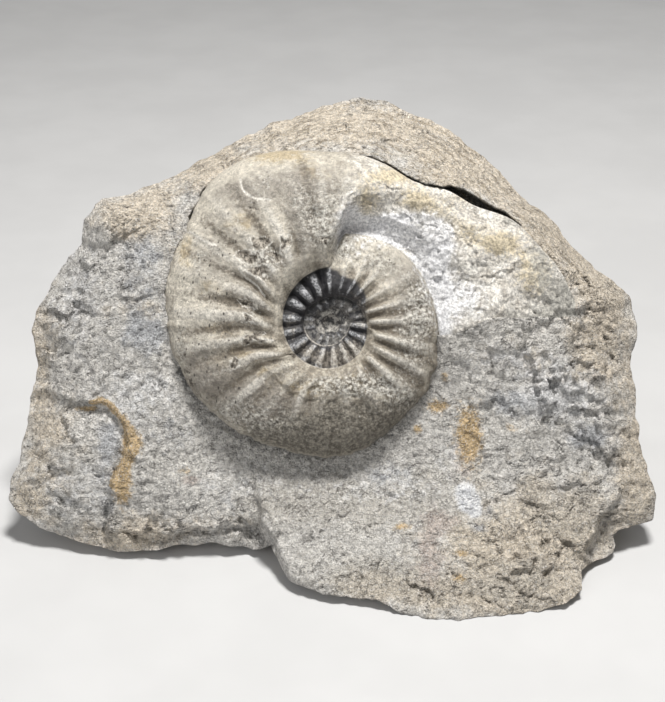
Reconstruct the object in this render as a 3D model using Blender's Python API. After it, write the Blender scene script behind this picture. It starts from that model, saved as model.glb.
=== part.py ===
"""Ammonite fossil standing in its block of pale limestone.

The layout is in millimetres in the frame of the fossil's face: u to the right, v up the face, w out
of it, and the centre of the coil at the origin. Outlines and marks are drawn as an eye half a metre
in front of the face sees them, and `sight` slides a drawn point along the eye's line to its depth.
The face leans back on a flat broken base; `to_world` gives metres with that base on z = 0.
"""

import math

import bmesh
import bpy
import numpy as np
from mathutils import Vector, noise

# Stance of the block
LEAN = math.radians(28.0)
COIL_HEIGHT = 72.0
EYE_RANGE = 500.0
EYE_AIM = np.array((0.7, -9.3))

# Mesh density of the block and of the spiral
BLOCK_CELLS = 38
BLOCK_RINGS = 6
SPIRAL_COLUMNS = 96
SPIRAL_ROWS = (3, 5, 9)

# Rim of the block, clockwise from the top: u, v and the depth of the rim
HUB = np.array((0.0, -12.3))
RIM = np.array((
    (7.7, 75.2, -20), (19.3, 73.7, -20), (29, 69.3, -19), (36.3, 65.7, -19), (46.7, 59, -18),
    (56.7, 51, -18), (61.3, 44.7, -17), (72.3, 35.7, -16), (80.3, 26.7, -15), (87.7, 18, -14),
    (95, 13.7, -15), (100, 9.3, -16), (101.7, -5.7, -14), (100, -10, -13), (102.3, -25.3, -11),
    (101.7, -30, -10), (103.3, -40, -9), (105.3, -49.7, -8), (108.5, -57, -6), (107.7, -65.7, -6),
    (96.3, -68.8, -4), (94.7, -76.7, -3), (86, -80.5, 3), (83.3, -82.5, 11), (84.3, -89.6, 17),
    (79.3, -93.3, 19), (65.3, -96.8, 21), (48.3, -98.8, 24), (33.3, -99.7, 24), (21.3, -96, 22),
    (7.8, -91.5, 19), (-2.8, -90.2, 17), (-13.3, -86, 13), (-17.7, -78, 8), (-19.7, -74, 4),
    (-23.3, -75.2, -5), (-41.3, -73.5, -4), (-59.3, -75.7, -3), (-70.7, -76.1, -4), (-86.9, -71.8, -6),
    (-95.7, -68.3, -7), (-103.5, -63.5, -8), (-107.3, -59, -9), (-104, -47, -9), (-99.2, -23.7, -12),
    (-97.7, -14.3, -13), (-99.5, -3.3, -14), (-98, 3.8, -14), (-91.3, 16, -14), (-83, 26.3, -10),
    (-81.5, 34.2, -8), (-78.3, 39.3, -9), (-70.7, 42.5, -10), (-61, 45.7, -12), (-48.7, 50.8, -13),
    (-40.7, 55.9, -14), (-27, 62.7, -16), (-13.3, 68.2, -18), (-5.3, 70.7, -19),
))
RIM_ROLL = 0.12

# Depth of the weathered face at points across it: u, v, w
SOUNDINGS = np.array((
    (-60, 7.7, 4), (-73.3, 24.3, 2), (-76.7, -2.3, 2), (-60, -19, 3), (-46.7, -35.7, 0),
    (-26.7, -47.3, -2), (-3.3, -52.3, -2), (20, -47.3, -1), (33.3, -32.3, 0), (41.7, -15.7, 2),
    (50, -7.3, 5), (66.7, -5.7, 6), (-46.7, 46, -3), (-53.3, 34.3, 2), (-33.3, 56, -4), (-15, 61, -4),
    (5, 59.3, 0), (5, 68.3, -11), (23.3, 54.3, 1), (30, 62.7, -11), (41.7, 47.7, 1), (50, 50.3, -8),
    (65, 33.7, 3), (76.7, 22.7, 2), (86.7, 7.7, 0), (95, -5.7, -6), (90, -20.7, 0), (76.7, -25.7, 3),
    (98.3, -35.7, -4), (86.7, -49, -1), (101.7, -59, -3), (56.7, -39, 2), (46.7, -59, 1), (70, -59, 1),
    (90, -72.3, -1), (-10, -65.7, 0), (23.3, -65.7, 0), (33.3, -92.3, 0), (73.3, -89, -1),
    (-43.3, -59, 1), (-60, -49, 3), (-63.3, -69, 0), (-36.7, -69, -1), (-90, -59, -2), (-80, -67.3, 0),
    (-83.3, -39, 2), (-93.3, -25.7, -5), (-95, -5.7, -7), (-89.3, 11, -6), (-76.7, 34.3, -1),
))

# The foot of the block swells forward between two broken sides
FOOT_TOP = -47.0
FOOT_BOTTOM = -97.0
FOOT_SWELL = 24.0
FOOT_POWER = 1.3
FOOT_WALL = 5.0
FOOT_LEFT = ((-25.5, -50), (-22.7, -65.7), (-19.3, -74), (-16, -90))
FOOT_RIGHT = ((103.3, -49), (93.3, -62.3), (85.5, -76.3), (92, -86))

# Ledges: the line, how far the ground drops on its right-hand side, the width of the wall, the reach
LEDGES = (
    (((-78.3, -27.3), (-73.3, -28.3), (-67.7, -40.7), (-72.3, -52.3), (-74, -74)), 4.5, 4.0, 16.0),
    (((-82.3, 31), (-83.5, 15), (-81.3, -19)), 3.0, 4.0, 20.0),
    (((64, -10.5), (72, -11.2), (80, -18), (88, -24.5)), 2.5, 4.0, 14.0),
)
# Lumps and hollows: centre, radii along u and v, height
LUMPS = (
    ((-74.0, 36.0), (8.0, 7.0), 2.5),
    ((-26.5, -70.5), (4.5, 5.5), -9.0),
    ((-7.3, -74.0), (5.0, 3.0), -3.0),
    ((73.0, -29.0), (9.0, 5.0), -2.5),
)
GROUND_ROUGHNESS = ((34.0, 1.3), (14.0, 0.9))

# Sides and back of the block: planes it is broken along, roughness, and facets of a length and a slope
BACK_DEPTH = -64.0
BACK_SLOPE = 0.5
BACK_POWER = 3.0
BACK_PATCH = 0.72
BACK_PATCH_INSET = 0.93
BACK_ROUGHNESS = ((50.0, 3.5), (18.0, 1.4))
BACK_FACETS = ((16.0, 0.5),)
FACET_TILT_SCALE = 31.0
CELL_MIDDLE = Vector((0.5, 0.5, 0.5))
BACK_PLANES = (
    ((-0.35, 0.25, -0.90), 62.0),
    ((0.45, -0.10, -0.89), 66.0),
    ((0.10, 0.62, -0.78), 69.0),
    ((0.88, 0.15, -0.45), 93.0),
    ((-0.90, 0.00, -0.44), 95.0),
    ((-0.55, 0.60, -0.58), 74.0),
)

# Outer edge of the shell by the angle turned, in degrees clockwise from the right
COIL_START = 8.0
COIL_GROWTH = 1.93
EDGE_ANGLES = np.array((
    -90, -45, 0, 29, 50, 86, 112, 138, 156, 172, 184, 198, 216, 228, 240, 251, 265, 281, 288, 302, 312,
    321, 331, 340, 347, 354, 360, 368,
), dtype=float)
EDGE_RADII = np.array((
    29.3, 33.4, 35.7, 38.8, 39.5, 44.5, 45.1, 48.6, 51.5, 54.1, 55.5, 57.5, 58.0, 61.4, 61.9, 60.3,
    57.7, 57.0, 56.3, 55.2, 59.2, 62.1, 70.1, 74.4, 78.5, 81.4, 83.9, 84.5,
))

# Seam where a turn laps over the turn inside it
SEAM_ANGLES = np.array((
    -360, -312, -285, -245, -202, -151, -118, -87, -48, 0, 24, 63, 92, 139, 180, 215, 268, 290,
), dtype=float)
SEAM_RADII = np.array((
    6.06, 6.2, 6.8, 7.8, 8.5, 8.8, 8.3, 8.7, 10.1, 11.7, 12.8, 14.2, 14.9, 15.4, 15.7, 16.4, 18.6, 19.6,
))

# Flank: height of its crest at the break, where across the turn it lies, and the walls inside and out
FLANK_HEIGHT = 17.0
FLANK_CREST = 0.3
FLANK_CREST_ANGLES = (235.0, 270.0)
FLANK_CREST_LATE = 0.46
FLANK_POWER = 2.2
INNER_WALL = 0.5
NUCLEUS = (-0.1, 0.3)
NUCLEUS_SINK = 0.6
COVERED_REACH = 0.45

# The last quarter turn has lost its shell and shows the filling of the living chamber
BREAK_ANGLE = 270.0
BREAK_SPAN = 6.0
CHAMBER_SHARES = (0.0, 0.12, 0.35, 0.75, 1.0)
CHAMBER_HEIGHTS = (3.6, 5.0, 7.5, 7.2, 4.6)
CHAMBER_CARRY = 0.85
CHAMBER_CARRY_END = 322.0
CHAMBER_CARRY_REACH = (0.3, 0.95)
CHAMBER_CARRY_WIDENS = 300.0
TRENCH_ANGLES = (270.0, 330.0)
TRENCH_HEIGHTS = (8.0, 3.6)
CHAMBER_ROUGHNESS = ((16.0, 1.4),)

# At the mouth the filling runs out level with the stone
MOUTH_ANGLE = 368.0
MOUTH_SPAN = 22.0
MOUTH_LAG = 9.0
MOUTH_LAG_START = 330.0
MOUTH_STEP = 0.3

# Ribs counted along the spiral, their backward sweep, and their height as a share of the flank's
RIB_COUNT_ANGLES = (-1530.0, -450.0, -90.0, 390.0)
RIB_COUNTS = (-64.5, -17.6, 0.0, 32.6)
RIB_SWEEP_ANGLES = (-1500, 40, 100, 190, 240, 300, 345, 368)
RIB_SWEEPS = (0, 0, 11, 10, 6, 3, 2, 0)
RIB_SHARE = 0.085
INNER_RIB_SHARE = 0.13
RIB_STRENGTH_ANGLES = (-100, -85, -55, -20, 8, 50, 75, 100, 130, 165, 200, 225, 255, 270)
RIB_STRENGTHS = (1.0, 0.2, 0.45, 0.9, 1.1, 1.0, 0.6, 0.5, 0.6, 0.65, 0.5, 0.3, 0.3, 0.3)

# Seat of the fossil in the stone; the gap is widest where a crack follows the chamber
SEAT_DEPTH = -6.0
SEAT_GAP = 0.35
SEAT_TOP = 60.0
GAP_ANGLES = (0, 308, 314, 319, 325, 334, 345, 370)
GAP_WIDTHS = (0.35, 0.4, 1.4, 2.9, 2.0, 0.6, 0.45, 0.4)


def clear_scene():
    for thing in list(bpy.data.objects):
        bpy.data.objects.remove(thing, do_unlink=True)


def to_world(points):
    """Metres in the block's own frame from rows of u, v, w in millimetres."""
    u, v, w = points.T
    y = v * math.sin(LEAN) - w * math.cos(LEAN)
    z = v * math.cos(LEAN) + w * math.sin(LEAN) + COIL_HEIGHT
    return np.column_stack((u, y, z)) / 1000.0


def sight(drawn, depth):
    """Rows of u, v, w for points drawn at u, v once they lie at the depths."""
    shrink = 1.0 - depth / EYE_RANGE
    return np.column_stack((EYE_AIM + (drawn - EYE_AIM) * shrink[:, None], depth))


def on_plane(drawn):
    return np.column_stack((drawn, np.zeros(len(drawn))))


def ease(value, low, high):
    """Smooth step from 0 at low to 1 at high."""
    share = np.clip((value - low) / (high - low), 0.0, 1.0)
    return share * share * (3.0 - 2.0 * share)


def rough(points, octaves, seed):
    """Sum of noise octaves, each a length and a height, at rows of three coordinates."""
    total = np.zeros(len(points))
    for number, (length, height) in enumerate(octaves):
        origin = Vector((17.3 * seed, 5.1 * number, 2.7 * seed))
        total += [height * noise.noise(Vector(point) / length + origin) for point in points.tolist()]
    return total


def facets(points, sizes, seed):
    """Height of flat broken facets, each tilted its own way, for sizes of a length and a slope."""
    total = np.zeros(len(points))
    for number, (length, slope) in enumerate(sizes):
        origin = Vector((7.7 * seed, 3.1 * number, 1.9 * seed))
        for i, point in enumerate(points.tolist()):
            place = Vector(point) / length + origin
            centre = noise.voronoi(place)[1][0]
            tilt = noise.cell_vector(centre * FACET_TILT_SCALE) - CELL_MIDDLE
            total[i] += length * slope * (place - centre).dot(tilt)
    return total


def smooth_curve(where, nodes, values):
    """Cubic curve through the nodes."""
    slopes = np.gradient(values, nodes)
    k = np.clip(np.searchsorted(nodes, where) - 1, 0, len(nodes) - 2)
    span = nodes[k + 1] - nodes[k]
    t = (where - nodes[k]) / span
    rise = t * t * (3.0 - 2.0 * t)
    bend = slopes[k] * (t - 1.0) * (t - 1.0) * t + slopes[k + 1] * t * t * (t - 1.0)
    return values[k] * (1.0 - rise) + values[k + 1] * rise + span * bend


def line_offset(points, line):
    """Distance to a chain of points, positive on the right-hand side of its run."""
    best = np.full(len(points), np.inf)
    side = np.ones(len(points))
    for start, end in zip(np.array(line[:-1], dtype=float), np.array(line[1:], dtype=float)):
        run = end - start
        reach = points - start
        t = np.clip(reach @ run / (run @ run), 0.0, 1.0)
        distance = np.hypot(*(reach - t[:, None] * run).T)
        cross = reach[:, 0] * run[1] - reach[:, 1] * run[0]
        nearer = distance < best
        best = np.where(nearer, distance, best)
        side = np.where(nearer, np.where(cross > 0.0, 1.0, -1.0), side)
    return best * side


def stitch(first, second):
    """Triangles between two chains of vertices that run the same way."""
    faces = []
    i = 0
    j = 0
    while i < len(first) - 1 or j < len(second) - 1:
        if (i + 1) * (len(second) - 1) <= (j + 1) * (len(first) - 1):
            faces.append((first[i], first[i + 1], second[j]))
            i += 1
        else:
            faces.append((first[i], second[j + 1], second[j]))
            j += 1
    return faces


def make_object(name, points, faces):
    """Closed mesh object from layout points and faces, its faces turned outward."""
    shape = bmesh.new()
    corners = [shape.verts.new(point) for point in to_world(points).tolist()]
    for face in faces:
        shape.faces.new([corners[index] for index in face])
    bmesh.ops.recalc_face_normals(shape, faces=shape.faces)
    mesh = bpy.data.meshes.new(name)
    shape.to_mesh(mesh)
    shape.free()
    made = bpy.data.objects.new(name, mesh)
    bpy.context.collection.objects.link(made)
    return made


def disc_grid(cells):
    """Square grid of cells pulled onto the unit disc, its quads, and its border in order."""
    ticks = np.linspace(-1.0, 1.0, cells + 1)
    across, up = [grid.ravel() for grid in np.meshgrid(ticks, ticks)]
    disc = np.column_stack((across * np.sqrt(1 - up ** 2 / 2), up * np.sqrt(1 - across ** 2 / 2)))
    side = cells + 1
    quads = []
    for j in range(cells):
        for i in range(cells):
            corner = j * side + i
            quads.append((corner, corner + 1, corner + side + 1, corner + side))
    border = [i for i in range(cells)]
    border += [j * side + cells for j in range(cells)]
    border += [cells * side + i for i in range(cells, 0, -1)]
    border += [j * side for j in range(cells, 0, -1)]
    return disc, quads, border


def rim_at(angle):
    """Rim radius about the hub and rim depth at the angles."""
    reach = RIM[:, :2] - HUB
    angles = np.arctan2(reach[:, 1], reach[:, 0])
    radius = np.interp(angle, angles, np.hypot(*reach.T), period=2 * math.pi)
    depth = np.interp(angle, angles, RIM[:, 2], period=2 * math.pi)
    return radius, depth


def plate_kernel(first, second):
    gap = np.hypot(first[:, None, 0] - second[None, :, 0], first[:, None, 1] - second[None, :, 1])
    return gap ** 2 * np.log(gap + 1e-6)


def sounded_depth(drawn):
    """Thin plate through the soundings, read at the drawn points."""
    known = SOUNDINGS[:, :2]
    count = len(known)
    flat = np.column_stack((np.ones(count), known))
    system = np.block([[plate_kernel(known, known), flat], [flat.T, np.zeros((3, 3))]])
    weights = np.linalg.solve(system, np.append(SOUNDINGS[:, 2], np.zeros(3)))
    spread = np.column_stack((np.ones(len(drawn)), drawn))
    return plate_kernel(drawn, known) @ weights[:count] + spread @ weights[count:]


def ground_depth(drawn):
    """Depth of the stone's face before the rim turns it down."""
    depth = sounded_depth(drawn)
    for line, drop, width, reach in LEDGES:
        offset = line_offset(drawn, line)
        depth -= drop * np.exp(-np.abs(offset) / reach) * ease(offset, -width / 2, width / 2)
    for centre, radii, height in LUMPS:
        spread = ((drawn - centre) / radii) ** 2
        depth += height * np.exp(-spread.sum(axis=1))
    left = ease(-line_offset(drawn, FOOT_LEFT), -FOOT_WALL / 2, FOOT_WALL / 2)
    right = ease(line_offset(drawn, FOOT_RIGHT), -FOOT_WALL / 2, FOOT_WALL / 2)
    swell = np.clip((FOOT_TOP - drawn[:, 1]) / (FOOT_TOP - FOOT_BOTTOM), 0.0, 1.1) ** FOOT_POWER
    depth += FOOT_SWELL * swell * left * right
    return depth + rough(on_plane(drawn), GROUND_ROUGHNESS, 1)


def block_front(disc):
    """Layout points of the face for points of the unit disc."""
    share = np.hypot(*disc.T)
    radius, rim_depth = rim_at(np.arctan2(disc[:, 1], disc[:, 0]))
    drawn = HUB + disc * radius[:, None]
    roll = np.clip((share - 1.0 + RIM_ROLL) / RIM_ROLL, 0.0, 1.0) ** 2
    return sight(drawn, ground_depth(drawn) * (1.0 - roll) + rim_depth * roll)


def block_back(disc):
    """Layout points of the sides and back for points of the unit disc, its border on the rim."""
    share = np.hypot(*disc.T)
    toward = disc / np.maximum(share, 1e-9)[:, None]
    radius, rim_depth = rim_at(np.arctan2(disc[:, 1], disc[:, 0]))
    rim = sight(HUB + toward * radius[:, None], rim_depth)
    points = np.column_stack((HUB + (rim[:, :2] - HUB) * share[:, None], rim_depth))
    depth_share = np.clip(1.0 - share ** BACK_POWER, 0.0, 1.0) ** (1.0 / BACK_POWER)
    points[:, 2] += (BACK_DEPTH + BACK_SLOPE * points[:, 1] - rim_depth) * depth_share
    for normal, offset in BACK_PLANES:
        beyond = np.maximum(points @ np.array(normal) - offset, 0.0)
        points -= np.outer(beyond * np.minimum(depth_share * 3.0, 1.0), normal)
    outward = np.column_stack((toward * share[:, None], -depth_share))
    lift = rough(points, BACK_ROUGHNESS, 4) + facets(points, BACK_FACETS, 8)
    return points + outward * (lift * np.minimum(depth_share * 1.5, 1.0))[:, None]


def build_block():
    disc, quads, border = disc_grid(BLOCK_CELLS)
    points = [block_front(disc)]
    faces = list(quads)
    count = len(disc)
    ring = border
    edge = disc[border]
    turn = math.acos(BACK_PATCH ** (BACK_POWER / 2))
    for number in range(1, BLOCK_RINGS + 1):
        share = math.cos(turn * number / BLOCK_RINGS) ** (2 / BACK_POWER)
        points.append(block_back(edge * share))
        following = list(range(count, count + len(ring)))
        count += len(ring)
        for i in range(len(ring)):
            j = (i + 1) % len(ring)
            faces.append((ring[i], ring[j], following[j], following[i]))
        ring = following
    patch, patch_quads, patch_border = disc_grid(BLOCK_CELLS // 2)
    patch_share = math.cos(turn) ** (2 / BACK_POWER) * BACK_PATCH_INSET
    points.append(block_back(patch * patch_share))
    faces += [tuple(count + index for index in quad) for quad in patch_quads]
    patch_ring = [count + index for index in patch_border]
    faces += stitch(ring + ring[:1], patch_ring + patch_ring[:1])
    block = make_object("stone_matrix", np.vstack(points), faces)
    stand_on_base(block)
    return block


def stand_on_base(block):
    """Cuts the block off flat at z = 0."""
    shape = bmesh.new()
    shape.from_mesh(block.data)
    everything = shape.verts[:] + shape.edges[:] + shape.faces[:]
    bmesh.ops.bisect_plane(
        shape, geom=everything, dist=1e-7, plane_co=(0, 0, 0), plane_no=(0, 0, 1), clear_inner=True
    )
    rim = [edge for edge in shape.edges if edge.is_boundary]
    bmesh.ops.contextual_create(shape, geom=rim)
    bmesh.ops.recalc_face_normals(shape, faces=shape.faces)
    shape.to_mesh(block.data)
    shape.free()


def edge_radius(angle):
    """Radius of the shell's outer edge at the angles turned."""
    inner = EDGE_RADII[0] * COIL_GROWTH ** ((angle - EDGE_ANGLES[0]) / 360.0)
    drawn = smooth_curve(np.clip(angle, EDGE_ANGLES[0], EDGE_ANGLES[-1]), EDGE_ANGLES, EDGE_RADII)
    return np.where(angle < EDGE_ANGLES[0], inner, drawn)


def covered_radius(angle):
    """Radius of the seam at any angle turned: the drawn part, shrunk turn by turn inside it."""
    turns = np.maximum(np.ceil((SEAM_ANGLES[0] - angle) / 360.0), 0.0)
    outer = np.clip(angle + 360.0 * turns, SEAM_ANGLES[0], SEAM_ANGLES[-1])
    return smooth_curve(outer, SEAM_ANGLES, SEAM_RADII) * COIL_GROWTH ** -turns


def seam_radius(angle):
    """Radius where a turn meets the turn inside it, which the broken last part leaves bare."""
    bare = ease(angle, BREAK_ANGLE, BREAK_ANGLE + BREAK_SPAN)
    return covered_radius(angle) * (1.0 - bare) + edge_radius(angle - 360.0) * bare


def crest_height(angle):
    return FLANK_HEIGHT * COIL_GROWTH ** ((angle - BREAK_ANGLE) / 360.0)


def shell_height(angle, share, seam):
    """Height of the flank across a turn: up from the seam to the crest and over to the edge."""
    crest = crest_height(angle)
    open_from = BREAK_ANGLE - 360.0
    bare = ease(angle, open_from, open_from + BREAK_SPAN)
    bare *= 1.0 - ease(angle, MOUTH_ANGLE - 362.0, MOUTH_ANGLE - 356.0)
    trench = np.interp(angle + 360.0, TRENCH_ANGLES, TRENCH_HEIGHTS) * bare
    summit = FLANK_CREST + (FLANK_CREST_LATE - FLANK_CREST) * ease(angle, *FLANK_CREST_ANGLES)
    rise = 1.0 - (1.0 - np.clip(share / summit, 0.0, 1.0)) ** 3
    out = np.clip((share - summit) / (1.0 - summit), 0.0, 1.0)
    fall = (1.0 - out ** FLANK_POWER) ** (1.0 / FLANK_POWER)
    inside = seam + (crest - seam) * rise
    outside = trench + (crest - trench) * fall
    return np.where(share < summit, inside, outside)


def rib_height(straight, angle, share):
    """Height of the ribs, which keep to their own place along the spiral."""
    wave = np.cos(2 * math.pi * np.interp(straight, RIB_COUNT_ANGLES, RIB_COUNTS))
    size = np.where(straight > EDGE_ANGLES[0], RIB_SHARE, INNER_RIB_SHARE)
    strength = np.interp(angle, RIB_STRENGTH_ANGLES, RIB_STRENGTHS)
    fade = ease(share, 0.0, 0.2) * (1.0 - ease(share, 0.6, 1.0))
    return wave * crest_height(angle) * size * strength * fade


def chamber_share(angle, share):
    """How far the surface has passed from shell to chamber filling, later on the outer flank."""
    inner = ease(angle, BREAK_ANGLE - 5.0, BREAK_ANGLE + 10.0)
    outer = ease(angle, BREAK_ANGLE - 10.0, BREAK_ANGLE + 28.0)
    outward = ease(share, 0.3, 0.65)
    return inner * (1.0 - outward) + outer * outward


def chamber_depth(drawn, angle, share, seam, shell):
    """Surface of the filling of the living chamber, which starts out near the height of the shell."""
    level = np.interp(share, CHAMBER_SHARES, CHAMBER_HEIGHTS)
    level = seam + (level - seam) * ease(share, 0.0, CHAMBER_SHARES[1])
    near, far = CHAMBER_CARRY_REACH
    reach = near + (far - near) * ease(angle, BREAK_ANGLE, CHAMBER_CARRY_WIDENS)
    carried = CHAMBER_CARRY * (1.0 - ease(angle, BREAK_ANGLE, CHAMBER_CARRY_END))
    carried *= ease(share / reach, 0.0, 1.0)
    level = level * (1.0 - carried) + shell * carried
    return level + rough(on_plane(drawn), CHAMBER_ROUGHNESS, 7) * ease(share, 0.0, 0.1)


def spiral_points(turn, rows, seam_heights):
    """Layout points of one turn, columns by rows, and the heights of its outer row."""
    last = turn == 0
    columns = np.arange(SPIRAL_COLUMNS + 1 if last else SPIRAL_COLUMNS) / SPIRAL_COLUMNS
    heights = np.append(seam_heights, seam_heights[-1:]) if last else seam_heights
    column, row = [grid.ravel() for grid in np.meshgrid(columns, np.linspace(0, 1, rows + 1), indexing="ij")]
    seam = np.repeat(heights, rows + 1)
    straight = COIL_START + 360.0 * (column - turn)
    covered = ease(straight + 360.0, BREAK_ANGLE, BREAK_ANGLE + BREAK_SPAN)
    reach = row if last else row * (COVERED_REACH + (1.0 - COVERED_REACH) * covered)
    lead = np.interp(straight, RIB_SWEEP_ANGLES, RIB_SWEEPS) * ease(reach, 0.0, 0.35)
    lag = MOUTH_LAG * ease(straight, MOUTH_LAG_START, MOUTH_ANGLE) * ease(row, 0.0, 0.4)
    angle = straight + lead - lag
    inner_radius = seam_radius(angle)
    full_radius = edge_radius(angle)
    outer_radius = full_radius if last else seam_radius(angle + 360.0)
    radius = inner_radius + (outer_radius - inner_radius) * row
    share = (radius - inner_radius) / (full_radius - inner_radius)
    turned = np.radians(angle)
    drawn = np.column_stack((radius * np.cos(turned), -radius * np.sin(turned)))
    height = shell_height(angle, share, seam) + rib_height(straight, angle, share)
    if last:
        gone = chamber_share(angle, share)
        height = height * (1.0 - gone) + chamber_depth(drawn, angle, share, seam, height) * gone
        at_mouth = ease(straight, MOUTH_ANGLE - MOUTH_SPAN, MOUTH_ANGLE)
        height = height * (1.0 - at_mouth) + (ground_depth(drawn) + MOUTH_STEP) * at_mouth
    return sight(drawn, height), height[rows::rows + 1]


def build_ammonite():
    """The whole fossil, and its outline on the face."""
    points = []
    faces = []
    count = 0
    turns = len(SPIRAL_ROWS)
    hub_height = INNER_WALL * FLANK_HEIGHT * COIL_GROWTH ** -turns
    seam_heights = np.full(SPIRAL_COLUMNS, hub_height)
    inner_edge = None
    for number, rows in enumerate(SPIRAL_ROWS):
        turn = turns - 1 - number
        made, outer = spiral_points(turn, rows, seam_heights)
        made = made.reshape(-1, rows + 1, 3)
        columns = len(made)
        first_row = 0 if number == 0 else 1
        fresh = columns * (rows + 1 - first_row)
        index = np.zeros((columns, rows + 1), dtype=int)
        index[:, first_row:] = count + np.arange(fresh).reshape(columns, -1)
        points.append(made[:, first_row:].reshape(-1, 3))
        count += fresh
        if number > 0:
            index[:SPIRAL_COLUMNS, 0] = inner_edge
        if turn == 0:
            index[-1, 0] = index[0, -1]
        corners = np.stack((index[:-1, :-1], index[1:, :-1], index[1:, 1:], index[:-1, 1:]), axis=-1)
        faces += [tuple(face) for face in corners.reshape(-1, 4).tolist()]
        if number == 0:
            hole = index[:, 0].tolist() + index[0, :0:-1].tolist()
        else:
            faces += stitch(previous_last, index[0].tolist())
        previous_last = index[-1].tolist()
        inner_edge = index[:SPIRAL_COLUMNS, -1]
        seam_heights = outer[:SPIRAL_COLUMNS]
    layout = np.vstack(points + [np.array(((*NUCLEUS, hub_height - NUCLEUS_SINK),))])
    faces += [(hole[i], hole[(i + 1) % len(hole)], count) for i in range(len(hole))]
    count += 1
    outline = index[:, -1].tolist() + index[-1, -2:0:-1].tolist()
    sunk = layout[outline].copy()
    sunk[:, 2] = SEAT_DEPTH
    foot = list(range(count, count + len(outline)))
    for i in range(len(outline)):
        j = (i + 1) % len(outline)
        faces.append((outline[i], outline[j], foot[j], foot[i]))
    faces.append(tuple(foot))
    made = make_object("ammonite", np.vstack((layout, sunk)), faces)
    return made, layout[outline]


def build_socket(outline):
    """Cutter for the seat: the fossil's outline, opened by the gap around it."""
    edge = outline[:SPIRAL_COLUMNS + 1]
    mouth = outline[SPIRAL_COLUMNS + 1:]
    turned = COIL_START + 360.0 * np.arange(SPIRAL_COLUMNS + 1) / SPIRAL_COLUMNS
    width = np.interp(turned, GAP_ANGLES, GAP_WIDTHS)
    outward = edge[:, :2] / np.hypot(*edge[:, :2].T)[:, None]
    opened = edge[1:, :2] + outward[1:] * width[1:, None]
    opened[-1, 1] -= SEAT_GAP
    mouth_opened = mouth[:, :2] - np.array((0.0, SEAT_GAP))
    path = np.vstack((opened, mouth_opened))
    floor = np.column_stack((path, np.full(len(path), SEAT_DEPTH - SEAT_GAP)))
    roof = np.column_stack((path, np.full(len(path), SEAT_TOP)))
    size = len(path)
    faces = [tuple(range(size)), tuple(range(2 * size - 1, size - 1, -1))]
    for i in range(size):
        j = (i + 1) % size
        faces.append((i, j, size + j, size + i))
    cutter = make_object("seat_cutter", np.vstack((floor, roof)), faces)
    cutter.hide_render = True
    cutter.display_type = "WIRE"
    return cutter


def give_material(thing, name, colour, roughness):
    material = bpy.data.materials.new(name)
    material.use_nodes = True
    shader = material.node_tree.nodes["Principled BSDF"]
    shader.inputs["Base Color"].default_value = (*colour, 1.0)
    shader.inputs["Roughness"].default_value = roughness
    thing.data.materials.append(material)


def main():
    clear_scene()
    block = build_block()
    fossil, outline = build_ammonite()
    cutter = build_socket(outline)
    seat = block.modifiers.new("seat", "BOOLEAN")
    seat.operation = "DIFFERENCE"
    seat.solver = "EXACT"
    seat.object = cutter
    give_material(block, "limestone", (0.46, 0.42, 0.38), 0.9)
    give_material(fossil, "fossil_shell", (0.32, 0.28, 0.23), 0.75)
    for polygon in fossil.data.polygons:
        polygon.use_smooth = True


main()
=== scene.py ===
"""Looks of the ammonite fossil in its block of limestone.

The two solids of the frame are replaced by finely modelled surfaces laid out as the solids are: in
millimetres on the fossil's face, u to the right, v up, w out of it, with the centre of the coil at
the origin. Outlines and marks are drawn as an eye half a metre in front of the face sees them, and
`sight` slides a drawn point along the eye's line to its depth.
"""

import math
from types import SimpleNamespace

import bmesh
import bpy
import numpy as np
from mathutils import Matrix, Vector, noise


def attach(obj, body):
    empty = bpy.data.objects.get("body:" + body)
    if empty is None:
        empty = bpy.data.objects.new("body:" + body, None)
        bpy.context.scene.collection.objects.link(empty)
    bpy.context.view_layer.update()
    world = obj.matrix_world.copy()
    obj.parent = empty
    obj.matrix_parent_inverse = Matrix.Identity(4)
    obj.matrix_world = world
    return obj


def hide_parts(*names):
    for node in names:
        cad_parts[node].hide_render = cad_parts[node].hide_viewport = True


# Stance of the block
LEAN = math.radians(28.0)
COIL_HEIGHT = 72.0
EYE_RANGE = 500.0
EYE_AIM = np.array((0.7, -9.3))

# Mesh density of the block and of the spiral
BLOCK_CELLS = 260
NEAR_RINGS = 3
FAR_RINGS = 12
SPIRAL_COLUMNS = 600
SPIRAL_ROWS = (6, 14, 34, 92)

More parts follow.
